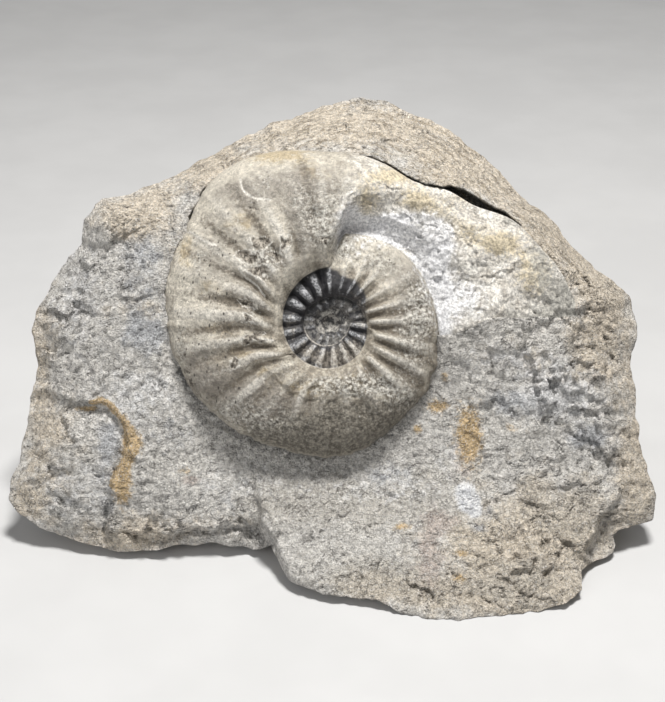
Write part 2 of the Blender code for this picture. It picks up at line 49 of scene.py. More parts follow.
# Rim of the block, clockwise from the top: u, v and the depth of the rim
HUB = np.array((0.0, -12.3))
RIM = np.array((
    (7.7, 75.2, -20), (15, 74.8, -20), (19.3, 73.7, -20), (23.7, 71.2, -19), (29, 69.3, -19),
    (36.3, 65.7, -19), (42, 62.7, -18), (46.7, 59, -18), (51, 55.3, -18), (56.7, 51, -18),
    (61.3, 44.7, -17), (67, 40, -16), (72.3, 35.7, -16), (80.3, 26.7, -15), (83.7, 22.3, -14),
    (87.7, 18, -14), (95, 13.7, -15), (100, 9.3, -16), (100.7, 4.7, -16), (101.7, -5.7, -14),
    (100, -10, -13), (100.7, -17.3, -12), (102.3, -25.3, -11), (101.7, -30, -10), (103.3, -40, -9),
    (105.3, -49.7, -8), (106.7, -52.7, -7), (108.5, -57, -6), (108.5, -59, -6), (107.7, -65.7, -6),
    (96.3, -68.8, -4), (94, -70.8, -3), (95.3, -73.8, -3), (94.7, -76.7, -3), (86, -80.5, 2),
    (83.3, -82.5, 12), (84.3, -89.6, 17), (79.3, -93.3, 19), (72.3, -95, 20), (65.3, -96.8, 21),
    (60.3, -96.8, 22), (51.7, -98.8, 23), (48.3, -98.8, 24), (33.3, -99.7, 24), (27.8, -97.8, 23),
    (21.3, -96, 22), (19.7, -94, 21), (15, -92.1, 20), (7.8, -91.5, 19), (1.3, -90.8, 18),
    (-2.8, -90.2, 17), (-10.3, -87, 15), (-13.3, -86, 13), (-16, -82.3, 10), (-17.7, -78, 8),
    (-19.7, -74, 4), (-23.3, -75.2, -5), (-32, -74, -4), (-41.3, -73.5, -4), (-50, -74, -3),
    (-59.3, -75.7, -3), (-70.7, -76.1, -4), (-79, -74, -5), (-86.9, -71.8, -6), (-95.7, -68.3, -7),
    (-103.5, -63.5, -8), (-107.3, -59, -9), (-106.7, -52, -9), (-104, -47, -9), (-100.7, -33, -11),
    (-99.2, -23.7, -12), (-97.7, -14.3, -13), (-99.5, -3.3, -14), (-98, 3.8, -14), (-94, 9.7, -14),
    (-91.3, 16, -14), (-87, 22, -12), (-83, 26.3, -10), (-81.5, 34.2, -8), (-78.3, 39.3, -9),
    (-75.3, 41.3, -10), (-70.7, 42.5, -10), (-66.7, 42.9, -11), (-61, 45.7, -12), (-53.7, 48.3, -13),
    (-48.7, 50.8, -13), (-40.7, 55.9, -14), (-34, 58.7, -15), (-27, 62.7, -16), (-19.7, 66.3, -17),
    (-13.3, 68.2, -18), (-5.3, 70.7, -19), (2.7, 74, -20),
))
RIM_ROLL = 0.1
RIM_CHIPS = ((7.0, 0.9), (2.4, 0.5))

# Depth of the weathered face at points across it: u, v, w
SOUNDINGS = np.array((
    (-60, 7.7, 4), (-73.3, 24.3, 2), (-76.7, -2.3, 2), (-60, -19, 3), (-46.7, -35.7, 0),
    (-26.7, -47.3, -2), (-3.3, -52.3, -2), (20, -47.3, -1), (33.3, -32.3, 0), (41.7, -15.7, 2),
    (50, -7.3, 5), (66.7, -5.7, 6), (-46.7, 46, -3), (-53.3, 34.3, 2), (-33.3, 56, -4), (-15, 61, -4),
    (5, 59.3, 0), (5, 68.3, -11), (23.3, 54.3, 1), (30, 62.7, -11), (41.7, 47.7, 1), (50, 50.3, -8),
    (65, 33.7, 3), (76.7, 22.7, 2), (86.7, 7.7, 0), (95, -5.7, -6), (90, -20.7, 0), (76.7, -25.7, 3),
    (98.3, -35.7, -4), (86.7, -49, -1), (101.7, -59, -3), (56.7, -39, 2), (46.7, -59, 1), (70, -59, 1),
    (90, -72.3, -1), (-10, -65.7, 0), (23.3, -65.7, 0), (33.3, -92.3, 0), (73.3, -89, -1),
    (-43.3, -59, 1), (-60, -49, 3), (-63.3, -69, 0), (-36.7, -69, -1), (-90, -59, -2), (-80, -67.3, 0),
    (-83.3, -39, 2), (-93.3, -25.7, -5), (-95, -5.7, -7), (-89.3, 11, -6), (-76.7, 34.3, -1),
))

# The foot of the block swells forward between two broken sides
FOOT_TOP = -47.0
FOOT_BOTTOM = -97.0
FOOT_SWELL = 24.0
FOOT_MOST = 1.1
FOOT_POWER = 1.3
FOOT_WALL = 2.6
FOOT_LEFT = ((-25.5, -50), (-22.7, -65.7), (-19.3, -74), (-16, -90))
FOOT_RIGHT = ((103.3, -49), (93.3, -62.3), (85.5, -76.3), (92, -86))

# Ledges: the line, how far the ground drops on its right-hand side, the width of the wall, the reach
CRESCENT = ((-78.3, -27.3), (-73.3, -28.3), (-70, -34), (-67.7, -40.7), (-69.3, -47.3), (-72.3, -52.3))
LEDGES = (
    (CRESCENT + ((-73.3, -59), (-74, -76)), 4.0, 2.0, 12.0),
    (((-82.3, 31), (-83.5, 15), (-84, 2), (-86, -8)), 1.5, 4.0, 12.0),
    (((64, -10.5), (72, -11.2), (80, -18), (88, -24.5)), 0.9, 1.8, 10.0),
    (((34.7, -74), (35.2, -80), (35.7, -86)), 0.9, 1.0, 6.0),
    (((-66.7, -70.2), (-56.7, -72), (-46.7, -68.6), (-30, -67.8)), 1.4, 1.4, 4.0),
    (((52, -31), (60, -28), (69, -30), (78, -27)), 0.4, 1.2, 5.0),
    (((-99, 2), (-92, -4), (-93, -18)), 1.4, 2.0, 7.0),
    (((88, -44), (97, -47), (104, -44)), 1.2, 1.6, 7.0),
    (((-97, -22), (-88, -25), (-80, -24)), 1.0, 1.6, 6.0),
    (((58, -52), (70, -56), (82, -54)), 1.0, 1.4, 6.0),
    (((50, -78), (62, -83), (76, -82)), 1.0, 1.4, 6.0),
    (((-80, 27), (-74, 26), (-66, 30)), 1.2, 1.4, 6.0),
)
LINE_WARP = ((9.0, 1.6), (3.0, 0.8))

# Broken facets of the stone: length and slope, how they are bent and tilted, and where they are coarsest
FACETS = ((9.0, 0.42), (3.8, 0.6), (2.0, 0.5))
FACET_WARP = ((4.0, 1.2), (1.5, 0.5))
FACET_TILT_SCALE = 31.0
CELL_MIDDLE = Vector((0.5, 0.5, 0.5))
COARSE_LEAST = 0.4
COARSE_AREAS = (
    (-92, 0, 12, 45, 0.9), (-80, 30, 14, 10, 0.6), (-88, -60, 16, 14, 0.3), (-50, -70, 30, 6, 0.8),
    (80, -15, 26, 18, 0.8), (92, -45, 16, 22, 0.7), (50, -90, 50, 10, 0.7), (75, -72, 18, 16, 0.6),
    (85, 18, 18, 16, 0.6), (5, 69, 60, 8, 0.35),
)

# Furrows: the line, its depth and half-width
FURROWS = (
    (((-66.7, -71.4), (-56.7, -73.2), (-46.7, -69.8), (-30, -68.8)), 1.2, 0.8),
    (((-3, -88), (2, -89), (6.7, -90.6)), 2.0, 0.9),
)

# Lumps and hollows: centre, radii along u and v, height
LUMPS = (
    (-74, 36, 8, 7, 2.5), (-25, -70.5, 4, 4.5, -5), (-7.3, -73.7, 3.8, 1.6, -1.8), (73, -29, 9, 5, -0.3),
    (45.8, -59, 3.4, 4.4, 0.5),
)

# Roughness of the face: length and height
GROUND_ROUGHNESS = ((34.0, 1.3), (14.0, 0.8))
GROUND_GRAIN = ((6.0, 0.3), (2.8, 0.25), (1.5, 0.35))

# Streaks along the top of the block: how high they stand, how fast they pass as the rim turns, how wide
# they are, and where they set in above the coil, sooner to the right
STREAK_HEIGHT = 1.0
STREAK_TURN = 6.0
STREAK_WIDTH = 2.2
STREAK_RISE = (44.0, 58.0)
STREAK_LEAN = 0.45
STREAK_OCTAVES = ((1.0, 1.0), (0.45, 0.5))

# Sides and back of the block: how deep and full they are, the patch that closes the back, the roughness,
# and the broken planes that flatten them
BACK_DEPTH = -64.0
BACK_SLOPE = 0.5
BACK_POWER = 3.0
BACK_PATCH = 0.72
PATCH_INSET = 0.985
RING_POWER = 1.3
PLANE_BLEND = 3.0
LIFT_BLEND = 1.5
BACK_ROUGHNESS = ((50.0, 3.5), (18.0, 1.4))
BACK_GRAIN = ((6.0, 0.4), (3.0, 0.35))
BACK_FACETS = ((16.0, 0.5), (6.5, 0.45), (3.0, 0.25))
BACK_PLANES = (
    ((-0.35, 0.25, -0.90), 62.0),
    ((0.45, -0.10, -0.89), 66.0),
    ((0.10, 0.62, -0.78), 69.0),
    ((0.88, 0.15, -0.45), 93.0),
    ((-0.90, 0.00, -0.44), 95.0),
    ((-0.55, 0.60, -0.58), 74.0),
)

# Spiral of the shell: radius of the outer edge by the angle turned, clockwise from the right
COIL_START = 8.0
COIL_GROWTH = 1.93
EDGE_ANGLES = np.array((
    -90, -45, 0, 29, 50, 86, 112, 138, 156, 172, 184, 198, 216, 228, 240, 251, 265, 281, 288, 302, 312,
    321, 331, 340, 347, 354, 360, 368,
), dtype=float)
EDGE_RADII = np.array((
    29.3, 33.4, 35.7, 38.8, 39.5, 44.5, 45.1, 48.6, 51.5, 54.1, 55.5, 57.5, 58.0, 61.4, 61.9, 60.3,
    57.7, 57.0, 56.3, 55.2, 59.2, 62.1, 70.1, 74.4, 78.5, 81.4, 83.9, 84.5,
))
EDGE_CHIPS = ((4.0, 0.7), (1.6, 0.4))
EDGE_CHIP_ANGLES = (8, 20, 215, 235)

# Radius of the seam between turns by the angle turned
SEAM_ANGLES = np.array((
    -360, -312, -285, -245, -202, -151, -118, -87, -48, 0, 24, 63, 92, 139, 180, 215, 268, 290,
), dtype=float)
SEAM_RADII = np.array((
    6.06, 6.2, 6.8, 7.8, 8.5, 8.8, 8.3, 8.7, 10.1, 11.7, 12.8, 14.2, 14.9, 15.4, 15.7, 16.4, 18.6, 19.6,
))

# Angle turned from which the spiral is laid bare; the small dark turns lie before it
BARE_FROM = -90.0

# Flank of a turn: its height at the break, where its crest lies between seam and edge, how full it is,
# how high the innermost wall stands, and how far a turn shows beside the next one
FLANK_HEIGHT = 17.0
FLANK_CREST = 0.3
FLANK_CREST_ANGLES = (235.0, 270.0)
FLANK_CREST_LATE = 0.46
FLANK_POWER = 2.2
INNER_WALL = 0.5
COVERED_REACH = 0.45

# Grain of the shell: length and height; rougher where it is rugged, worn or in a lobe, and gone at the
# seam and the edge
SHELL_GRAIN = ((9.0, 0.45), (4.0, 0.4), (1.8, 0.25), (0.9, 0.1))
INNER_GRAIN_SHARE = 0.6
RUGGED_GRAIN = ((2.4, 0.6), (1.2, 0.4))
SHELL_LINE_WARP = ((3.0, 0.7), (1.2, 0.35))
WORN_ROUGHNESS = 0.25
LOBE_ROUGHNESS = 0.5
SOFT_SEAM = (0.0, 0.05)
SOFT_EDGE = (0.97, 1.0)

# Steps of the shell: the line, the drop on its right-hand side, the width of the wall, the reach
SHELL_LEDGES = (
    (((-19.5, 41.3), (-23, 41.1), (-27, 42.3), (-30, 46)), 0.7, 0.5, 3.0),
    (((-19, -17.5), (-12.3, -23.3), (-7.7, -25.7), (-4, -25), (-1.7, -27.3), (0, -25.7), (3.5, -24),
      (12.3, -24.7), (19.7, -27.3), (29, -26)), 0.6, 0.7, 12.0),
    (((-34, 14.5), (-30, 17.5), (-27, 13.5), (-24, 11.0)), 0.4, 0.5, 3.0),
    (((-35, 26), (-31, 29), (-25, 29.5), (-19, 26)), 0.4, 0.6, 4.0),
)

# Cracks of the shell: the line, its depth and half-width
SHELL_FURROWS = (
    (((-48, 33), (-44, 30.5), (-40, 28.5), (-35, 24.3)), 0.35, 0.3),
    (((-19.5, 41.0), (-23, 40.8), (-27, 42.0), (-30, 45.7)), 0.3, 0.35),
    (((-50.5, -9), (-50, -17), (-46, -24)), 0.4, 0.6),
)

# The last quarter turn has lost its shell and shows the filling of the living chamber: where it breaks
# off on the inner and the outer flank, the filling's height across the turn, how far the shell's height
# is carried on into it, and its roughness
BREAK_ANGLE = 270.0
BREAK_SPAN = 10.0
BREAK_INNER = (-5.0, 10.0)
BREAK_OUTER = (-10.0, 28.0)
BREAK_SHARES = (0.3, 0.65)
CHAMBER_SHARES = (0.0, 0.12, 0.35, 0.75, 1.0)
CHAMBER_HEIGHTS = (3.6, 5.0, 7.5, 7.2, 4.6)
CHAMBER_CARRY = 0.85
CHAMBER_CARRY_REACH = (0.3, 0.95)
CHAMBER_CARRY_WIDENS = 300.0
CHAMBER_CARRY_END = 322.0
CHAMBER_ROUGHNESS = ((16.0, 1.4),)
CHAMBER_GRAIN = ((7.0, 0.6), (3.2, 0.4), (1.6, 0.3))
CHAMBER_FACETS = ((6.0, 0.28), (2.6, 0.32))

# Lumps of the chamber filling: centre, radii along u and v, height, and where across the turn they set in
CHAMBER_LUMPS = (
    (28, 47, 5, 4, 0.6), (48, 42, 7, 5, 1.2), (57, 27, 7, 5, 1), (66, 18, 5, 9, 0.8),
    (36, 38, 5, 3, -0.4), (62, 34, 4, 3, -1), (52, 12, 8, 5, -0.8), (74, 8, 3, 8, -0.8),
    (20, 40, 6, 4, -0.3), (40, 22, 6, 4, 0.6),
)
CHAMBER_LUMPS_FROM = (0.0, 0.1)

# Trench between the filling and the earlier turn that it lays bare, by the angle turned
TRENCH_ANGLES = (270.0, 330.0)
TRENCH_HEIGHTS = (8.0, 3.6)
TRENCH_CLOSES = (6.0, 12.0)

# Mouth of the chamber, where the filling runs out into the stone, sooner at the outer edge
MOUTH_ANGLE = 368.0
MOUTH_FROM = 330.0
MOUTH_BLEND = 22.0
MOUTH_LAG = 9.0
MOUTH_LAG_REACH = 0.4
MOUTH_STEP = -0.6

# Ribs counted along the spiral, from the exposed part of the earlier turn on: how uneven they are in
# spacing and size, how sharp, and by how many degrees they sweep forward
RIB_COUNT_ANGLES = (-1530.0, -450.0, -90.0, 390.0)
RIB_COUNTS = (-64.5, -17.6, 0.0, 32.6)
RIB_SPACING_WANDER = 0.2
RIB_SIZE_WANDER = 0.6
RIB_SHARPNESS_ANGLES = (-1500, -110, -85, 60, 110, 150, 400)
RIB_SHARPNESS = (0.6, 0.6, 1.3, 1.3, 1.0, 0.9, 0.9)
RIB_SWEEP_ANGLES = (-1500, 40, 100, 190, 240, 300, 345, 368)
RIB_SWEEPS = (0, 0, 11, 10, 6, 3, 2, 0)
RIB_SWEEP_REACH = 0.35
RIB_SPACING_OCTAVES = ((1.9, 1.0),)
RIB_SIZE_OCTAVES = ((1.2, 1.6),)
RIB_SIZES = (0.4, 1.5)

# Height of the ribs as a share of the crest's, how it changes along and across the turns, where they are
# worn smooth, and how dark the grooves between them are painted: partly their own brown, partly painted shade
RIB_SHARE = 0.085
INNER_RIB_SHARE = 0.13
RIB_STRENGTH_ANGLES = (
    -1500, -720, -700, -390, -350, -100, -85, -55, -20, 8, 50, 75, 100, 130, 165, 200, 225, 255, 270,
)
RIB_STRENGTHS = (
    0.1, 0.1, 0.4, 0.4, 0.9, 0.9, 0.6, 0.55, 0.85, 1.0, 0.9, 0.6, 0.5, 0.52, 0.56, 0.55, 0.5, 0.4, 0.3,
)
RIB_OUTER_SHARE = 0.6
RIB_OUTER = (0.4, 0.8)
RIB_START = (0.0, 0.12)
RIB_START_LAST = (0.02, 0.22)
RIB_END = (0.88, 1.0)
RIB_WORN_SHARE = 0.85
RIDGE_LEAST = 0.25
SMOOTH_ANGLES = (-96, -90, -45, -15)
SMOOTH_SHARES = (0.0, 0.85, 0.6, 0.0)
SMOOTH_FROM = (0.4, 0.65)
GROOVE_ANGLES = (-100, -85, -55, -20, 8, 50, 75, 110, 150, 200, 225, 270)
GROOVE_TONES = (1.0, 0.6, 0.6, 1.0, 1.25, 1.2, 0.8, 0.75, 0.8, 0.8, 0.7, 0.5)

# Dark umbilicus: how far out the exposed earlier turn is dark, how mottled each turn is, the brown
# nucleus in the middle, and the pale lip of the seams
DARK_ANGLES = (-96, -73, -54, -38, -28, 0, 20)
DARK_RADII = (19.0, 16.6, 16.4, 15.4, 13.2, 12.2, 12.6)
DARK_EDGE = (-2.4, 1.6)
CORE_TURNS = (1, 2, 3)
CORE_TONES = (0.0, 0.4, 1.0)
NUCLEUS = (0.8, 1.6)
COIL_MIDDLE = (-0.1, 0.3)
COIL_MIDDLE_DROP = 0.6
LIP_ANGLES = (-380, -346, -300, -262, -240, -200, -180, -120, -20, 60, 100, 200, 225, 250)
LIP_TONES = (0.3, 0.5, 0.7, 0.6, 1.0, 1.0, 0.2, 0.0, 0.0, 0.35, 0.7, 0.6, 0.15, 0.0)
LIP_WIDTH = 0.55

# Shadowed seams of the two turns inside the last: angles turned, and how far in the shadow ends
SHADOW_TONES = (0, 1, 1, 0)
SHADOW_ANGLES = {1: (-190, -160, -95, -88), 2: (-530, -500, -410, -380)}
SHADOW_ENDS = {1: (0.0, 2.6), 2: (0.7, 1.3)}

# Worn rim of the last turn: where it lies across the turn, and its tone by the angle turned
WORN_RIM = (0.965, 0.985)
WORN_RIM_ANGLES = (50, 80, 150, 180)
WORN_RIM_TONES = (0, 0.6, 0.6, 0)

# Seat of the fossil in the stone: the foot of the fossil, the floor of the socket, the width of its wall
SEAT_DEPTH = -6.0
GROUND_UNDER_FOSSIL = -9.0
SOCKET_WALL = 0.8

# Moat along the lower left of the fossil, and the painted shade on its floor, partly cast shadow and partly
# dark stain
MOAT_ANGLES = (0, 80, 105, 150, 172, 185, 360)
MOAT_DEPTHS = (0.3, 0.4, 1.6, 1.6, 0.9, 0.3, 0.3)
MOAT_REACH = 6.0
MOAT_SHADE = 0.35
MOAT_SHADE_FROM = 0.3

# Gap between the fossil and the stone, none where it is below zero: angles turned, widths, and how its
# edge wanders where it is closed and where it is open
GAP_ANGLES = (
    0, 213, 217, 222, 227, 231, 277, 285, 300, 307, 309.5, 311.5, 315, 319, 323.6, 327, 330, 333, 336,
)
GAP_WIDTHS = (-1, -1, 0.6, 0.1, 0.5, -1, -1, 0.35, 0.4, 0.4, 0.6, 2.0, 2.7, 2.9, 2.1, 1.4, 0.6, 0.2, -1)
GAP_WANDER = ((5.0, 0.5), (1.8, 0.35))
GAP_WANDER_OPEN = 0.6

# Stains of the stone by mark, some of them painted light and shade as noted: centre, radii along u and v,
# strength
STONE_AREAS = {
    "tan": (
        (5, 66, 42, 9, 0.9), (48, 52, 24, 10, 1), (72, 34, 15, 16, 1), (90, 12, 14, 18, 0.8),
        (-45, 53, 26, 9, 0.8), (-98, -10, 7, 40, 0.6), (-102, -58, 8, 10, 0.5), (-70, 36, 14, 7, 0.6),
        (102, -42, 8, 26, 0.7), (60, -92, 40, 8, 0.6), (-72, -74, 30, 4, 0.5), (72, -66, 26, 22, 0.6),
        (12, -88, 14, 5, 0.6), (-58, 34, 14, 14, 0.5), (90, -12, 14, 12, 0.5), (56, -80, 34, 16, 0.5),
        (-60, -68, 30, 6, 0.5), (-64, 6, 12, 8, 0.4), (-90, -40, 12, 20, 0.35), (60, -12, 14, 8, 0.35),
    ),
    "blue": (
        (-61.7, 23.7, 9, 7, 0.55), (-61, -4, 8, 7, 0.8), (-74, -40, 4, 8, 1), (-76, -56, 5, 9, 0.5),
        (61.7, -26.3, 11, 5, 0.8), (86, -38, 8, 5, 0.8), (20, -50.7, 10, 5, 0.6), (-64, 10, 8, 12, 0.4),
        (-40, -60, 16, 8, 0.3), (-52, -36, 10, 8, 0.4), (53, -62, 2, 2, 0.6), (50, -68, 4, 2, 0.6),
    ),
    # pale: whitish patches, partly painted light that lifts the left side and the ground by the ledge at the
    # lower right
    "pale": (
        (-30, -52, 26, 8, 0.3), (-62, -22, 16, 8, 0.5), (20, -56, 26, 6, 0.4), (-66, -34, 10, 8, 0.4),
        (-84, 8, 12, 22, 0.45), (-86, -56, 16, 14, 0.4), (60, -12, 24, 6, 0.45), (76, -25, 16, 9, 0.7),
        (40, -44, 8, 6, 0.4),
    ),
    # dusky: darker over the foot of the block, partly its own tone and partly painted shade that offsets the
    # light on its upward-facing swell
    "dusky": (
        (60, -88, 36, 10, 0.65), (10, -84, 20, 8, 0.75), (10, -60, 34, 9, 0.85), (78, -62, 20, 14, 0.55),
        (36, -48, 12, 10, 0.35), (-14, -58, 16, 7, 0.55),
    ),
    "ochre": (
        (46.2, -37.5, 4.2, 9.5, 1.2), (35.7, -27.7, 3.6, 2.4, 0.9), (29, -35.3, 2, 1.6, 0.8),
        (-66.2, -40, 3.4, 4.6, 1.15), (-69.2, -54, 3.2, 6.8, 1), (-81, -28.6, 3.6, 0.9, 1),
        (23.7, -68, 3, 1.6, 0.7), (44, -76.7, 3, 1.8, 0.6), (38, -18, 1.5, 2, 0.6),
        (-48.5, -49.5, 2.6, 1.8, 0.5), (43, -85, 2.6, 2, 0.6), (60, -35, 3.5, 1.6, 0.5),
    ),
    "pink": (
        (33, -76, 4.5, 14, 0.8), (44, -46, 4.5, 10, 0.5), (-46.7, -52.3, 3.2, 1.8, 0.9),
        (38, -66, 6, 4, 0.6),
    ),
    # dark: dark pits and stains, and painted shade in the two hollows at the foot, the furrow, at the foot of
    # the crescent wall and under ledges
    "dark": (
        (-25, -70.5, 3.6, 3.6, 0.4), (62, -26, 10, 3, 0.08), (-7.3, -73.7, 3.6, 1.5, 0.4),
        (1.7, -89.4, 6, 1.4, 0.5), (-71, -42, 1.2, 6, 0.45), (-76, -36, 3.5, 5, 0.2),
        (-49.5, -16, 1.2, 1.4, 0.9), (-47.8, -19.5, 1, 1.6, 0.9), (-47, 44, 3, 4, 0.5),
        (84, -45, 5, 1.6, 0.5), (76, -31, 4, 1.6, 0.4), (-90, -20, 6, 8, 0.2), (-94, -34, 5, 8, 0.25),
    ),
}
MOST_STAIN = 1.5
BACK_TAN = 0.6

# Ochre line along the crescent ledge, and the white oval set in the stone
CRESCENT_OFFSET = 1.1
CRESCENT_HALF_WIDTH = 1.3
OVAL_CENTRE = (45.8, -59.0)
OVAL_RADII = (6.2, 4.0)
OVAL_TILT = math.radians(-58.0)
OVAL_EDGE = (0.9, 1.08)

# Painted shade in the crack: how close to it, and where it sets in upward and to the right
CRACK_EDGE = (-0.5, 0.8)
CRACK_RISE = (12.0, 22.0)
CRACK_REACH = (10.0, 30.0)

# Colours laid over the stone in turn: the mark, the length of its ragged edge, the most that it
# covers, and the colour
STONE_STAINS = (
    ("tan", 9.0, 0.85, (0.70, 0.61, 0.49)),
    # dusky: partly painted shade over the foot
    ("dusky", 9.0, 0.6, (0.50, 0.47, 0.42)),
    ("blue", 3.5, 0.7, (0.46, 0.48, 0.52)),
    ("pink", 3.0, 0.6, (0.52, 0.42, 0.37)),
    # pale: whitish patches, partly painted light
    ("pale", 3.0, 0.8, (0.88, 0.88, 0.89)),
    ("ochre", 1.6, 0.85, (0.64, 0.45, 0.22)),
    # dark: dark stains, and painted shade in hollows, the crack, the moat, the furrow and under ledges
    ("dark", 1.6, 0.85, (0.12, 0.118, 0.115)),
)

# Marks on the shell by mark: centre, radii along u and v, strength
SHELL_AREAS = {
    "cream": (
        (-34, 34, 20, 20, 1.2), (-20, 50, 20, 9, 1.1), (-46, 5, 9, 22, 0.9), (10, 26, 14, 8, 1.7),
        (0, 42, 12, 12, 0.6), (-13, 19, 4, 6, 0.7), (24, 18, 9, 10, 1.2), (-17.5, 4, 2.5, 9, 0.6),
    ),
    "yellow": (
        (-30, 33, 6, 4, 0.75), (-17, 56, 12, 3, 0.8), (-6, 50, 6, 3, 0.6), (-48, 24, 3, 6, 0.7),
        (-6, -22, 9, 2.6, 0.8), (8, -20, 10, 3, 0.5), (21, 49, 9, 3.5, 0.8), (29, 41, 6, 4, 0.8),
        (56.7, 26.5, 7, 4.5, 0.9), (68, 17, 6, 8, 0.8), (31, 30, 6, 4, 0.5), (44, 30, 8, 4, 0.6),
        (48, 42, 7, 3, 0.5), (12, 40, 5, 8, 0.6), (-30, -10, 6, 3, 0.5), (-40, 12, 5, 3, 0.5),
        (-38, -2, 6, 2, 0.5), (-22, -16, 5, 4, 0.5), (8, 30, 5, 4, 0.5), (36, 36, 8, 5, 0.5),
    ),
    "stony": (
        (0, 44, 12, 12, 0.6), (-20, 46, 12, 8, 0.6), (-40, 22, 8, 14, 0.5), (-32, -22, 14, 10, 0.6),
        (26, -6, 10, 24, 0.6), (18, 20, 10, 7, 0.4), (-16, -28, 14, 8, 0.6), (-26, 10, 7, 12, 0.5),
        (-20, 22, 8, 6, 0.6), (-8, 28, 6, 9, 0.6), (-10, 42, 4, 9, 0.6), (-44, -10, 6, 16, 0.5),
        (-34, 44, 8, 4, 0.45), (-30, 34, 10, 10, 0.35), (30, 12, 6, 10, 0.4),
    ),
    "dull": (
        (70, 20, 5, 12, 0.7), (79, 7, 6, 9, 1), (64, 3, 10, 3, 0.6), (62, 34, 8, 2.5, 0.5),
        (46, 18, 8, 5, 0.45), (30, 34, 6, 3, 0.4),
    ),
    "worn": (
        (4, -40, 30, 12, 1), (-20, -40, 12, 7, 0.7), (28, -30, 9, 8, 0.6), (8, -30, 14, 5, 0.6),
    ),
    "bloom": (
        (18, 30.5, 14, 3.6, 1.5), (33, 17, 6, 12, 1.1), (37, -1, 3.5, 5, 0.8), (44, 8, 10, 9, 0.6),
        (34, 27, 9, 7, 0.6), (56, 40, 12, 2.5, 0.5), (22, 5, 6, 1.2, 0.3), (6, -18, 8, 3, 0.3),
        (24, 32, 12, 5, 1), (10, 24, 9, 5, 0.8), (6, 36, 5, 6, 0.7),
    ),
    "rugged": (
        (2, -21, 13, 3.6, 0.9), (14, -20, 8, 4, 0.5), (-22, 21, 7, 6, 0.75), (4, 25, 4, 5, 0.5),
        (2, 38, 7, 13, 0.5), (27, -6, 8, 18, 0.5), (-22, 48, 5, 5, 0.4), (16, 20, 9, 6, 0.5),
        (-14, -14, 5, 4, 0.4), (-4, 30, 6, 8, 0.45), (22, -26, 8, 5, 0.35), (-34, -30, 10, 6, 0.45),
        (-26, 3, 4, 8, 0.45), (-10, 40, 6, 8, 0.4), (30, 6, 5, 10, 0.5), (0, -46, 14, 2, 0.3),
        (-44, 20, 4, 12, 0.4), (-20, -32, 12, 7, 0.4), (-50, -8, 3, 12, 0.5),
    ),
    "speck": (
        (-42, -4, 10, 28, 1), (-30, -28, 14, 12, 0.7), (-38, 22, 12, 12, 0.5), (-14, 36, 12, 12, 0.3),
        (16, 24, 14, 6, 0.5), (-18, 2, 4, 12, 0.5),
    ),
    "frost": (
        (1, -12, 7, 3.4, 1), (7, -8, 4, 3, 0.8), (-8, -9, 3.5, 3, 0.6), (9, 9, 3, 3, 0.4),
        (11, 2, 3, 5, 0.5), (-13, -1, 2.5, 5, 0.4),
    ),
}
BLOOM_ON_SHELL = 0.3
SPECK_EVERYWHERE = 0.12

# Lobes of a suture laid bare on the left flank, and pits: centre, radii along u and v
LOBES = (
    (-24, 26.5, 2.4, 1.9), (-28.3, 22, 3.4, 1.5), (-23.5, 17.3, 4.4, 1.6), (-27.5, 6.2, 2, 1.4),
    (-27.2, 0.9, 2.4, 1), (-25, -5.2, 4.4, 0.8), (-31.5, -13.5, 1.5, 1.1), (-19, 22.5, 3, 1.2),
    (-15, 26.5, 1.6, 2),
)
PITS = (
    (-50.2, -6.5, 0.5, 0.9), (-49.2, -11.5, 0.6, 0.9), (-47.6, -15.5, 1.1, 0.9), (-46.2, -20, 0.7, 1.1),
    (-44, -24, 0.9, 1.3), (-25.5, 38.6, 1, 0.4), (-3, 27, 1.6, 0.7), (-12.5, -10.5, 1.2, 0.5),
)
LOBE_WARP = ((3.2, 2.4), (1.3, 1.1))
LOBE_DEPTH = 0.4
LOBE_RIM = 0.12
LOBE_RIM_PLACE = 1.25
LOBE_RIM_WIDTH = 0.16
PIT_STRENGTH = 1.3

# Scars that show as pale lines on the shell, how they wander, and their half-width
SCARS = (
    ((-30, 48), (-29.6, 45), (-27.6, 42.8), (-24.5, 41.4), (-20, 41.2)),
    ((-50, 31), (-46, 30), (-42, 27), (-38, 26)),
    ((-30.5, 18), (-28, 15), (-24, 12), (-22, 9)),
)
SCAR_WARP = ((2.5, 0.3),)
SCAR_HALF_WIDTH = 0.35

# Camera and light: lamps by name, place, size, watts and colour
IMAGE_LONG_SIDE = 702
PIXELS_PER_MM = 3.0
SENSOR = 36.0
AIM = Vector((0.0, -0.005, 0.06))
LAMPS = (
    ("key", (0.10, -0.07, 0.97), 0.2, 12.9, (1.0, 0.985, 0.96)),
    ("fill", (-0.6, -0.8, 0.45), 0.8, 2.9, (0.97, 0.98, 1.0)),
)
WORLD_COLOUR = (0.94, 0.935, 0.93, 1.0)
WORLD_STRENGTH = 0.285

# Floor: half its side, and its level just under the block, in metres
FLOOR_HALF = 4.0
FLOOR_LEVEL = -0.0002


def to_world(points):
    """Metres in the block's own frame from rows of u, v, w in millimetres."""
    u, v, w = points.T
    y = v * math.sin(LEAN) - w * math.cos(LEAN)
    z = v * math.cos(LEAN) + w * math.sin(LEAN) + COIL_HEIGHT
    return np.column_stack((u, y, z)) / 1000.0


def sight(drawn, depth):
    """Rows of u, v, w for points drawn at u, v once they lie at the depths."""
    shrink = 1.0 - depth / EYE_RANGE
    return np.column_stack((EYE_AIM + (drawn - EYE_AIM) * shrink[:, None], depth))


def ease(value, low, high):
    """Smooth step from 0 at low to 1 at high."""
    share = np.clip((value - low) / (high - low), 0.0, 1.0)
    return share * share * (3.0 - 2.0 * share)


def rough(points, octaves, seed):
    """Sum of noise octaves, each a length and a height, at rows of three coordinates."""
    total = np.zeros(len(points))
    for number, (length, height) in enumerate(octaves):
        origin = Vector((17.3 * seed, 5.1 * number, 2.7 * seed))
        total += [height * noise.noise(Vector(point) / length + origin) for point in points.tolist()]
    return total


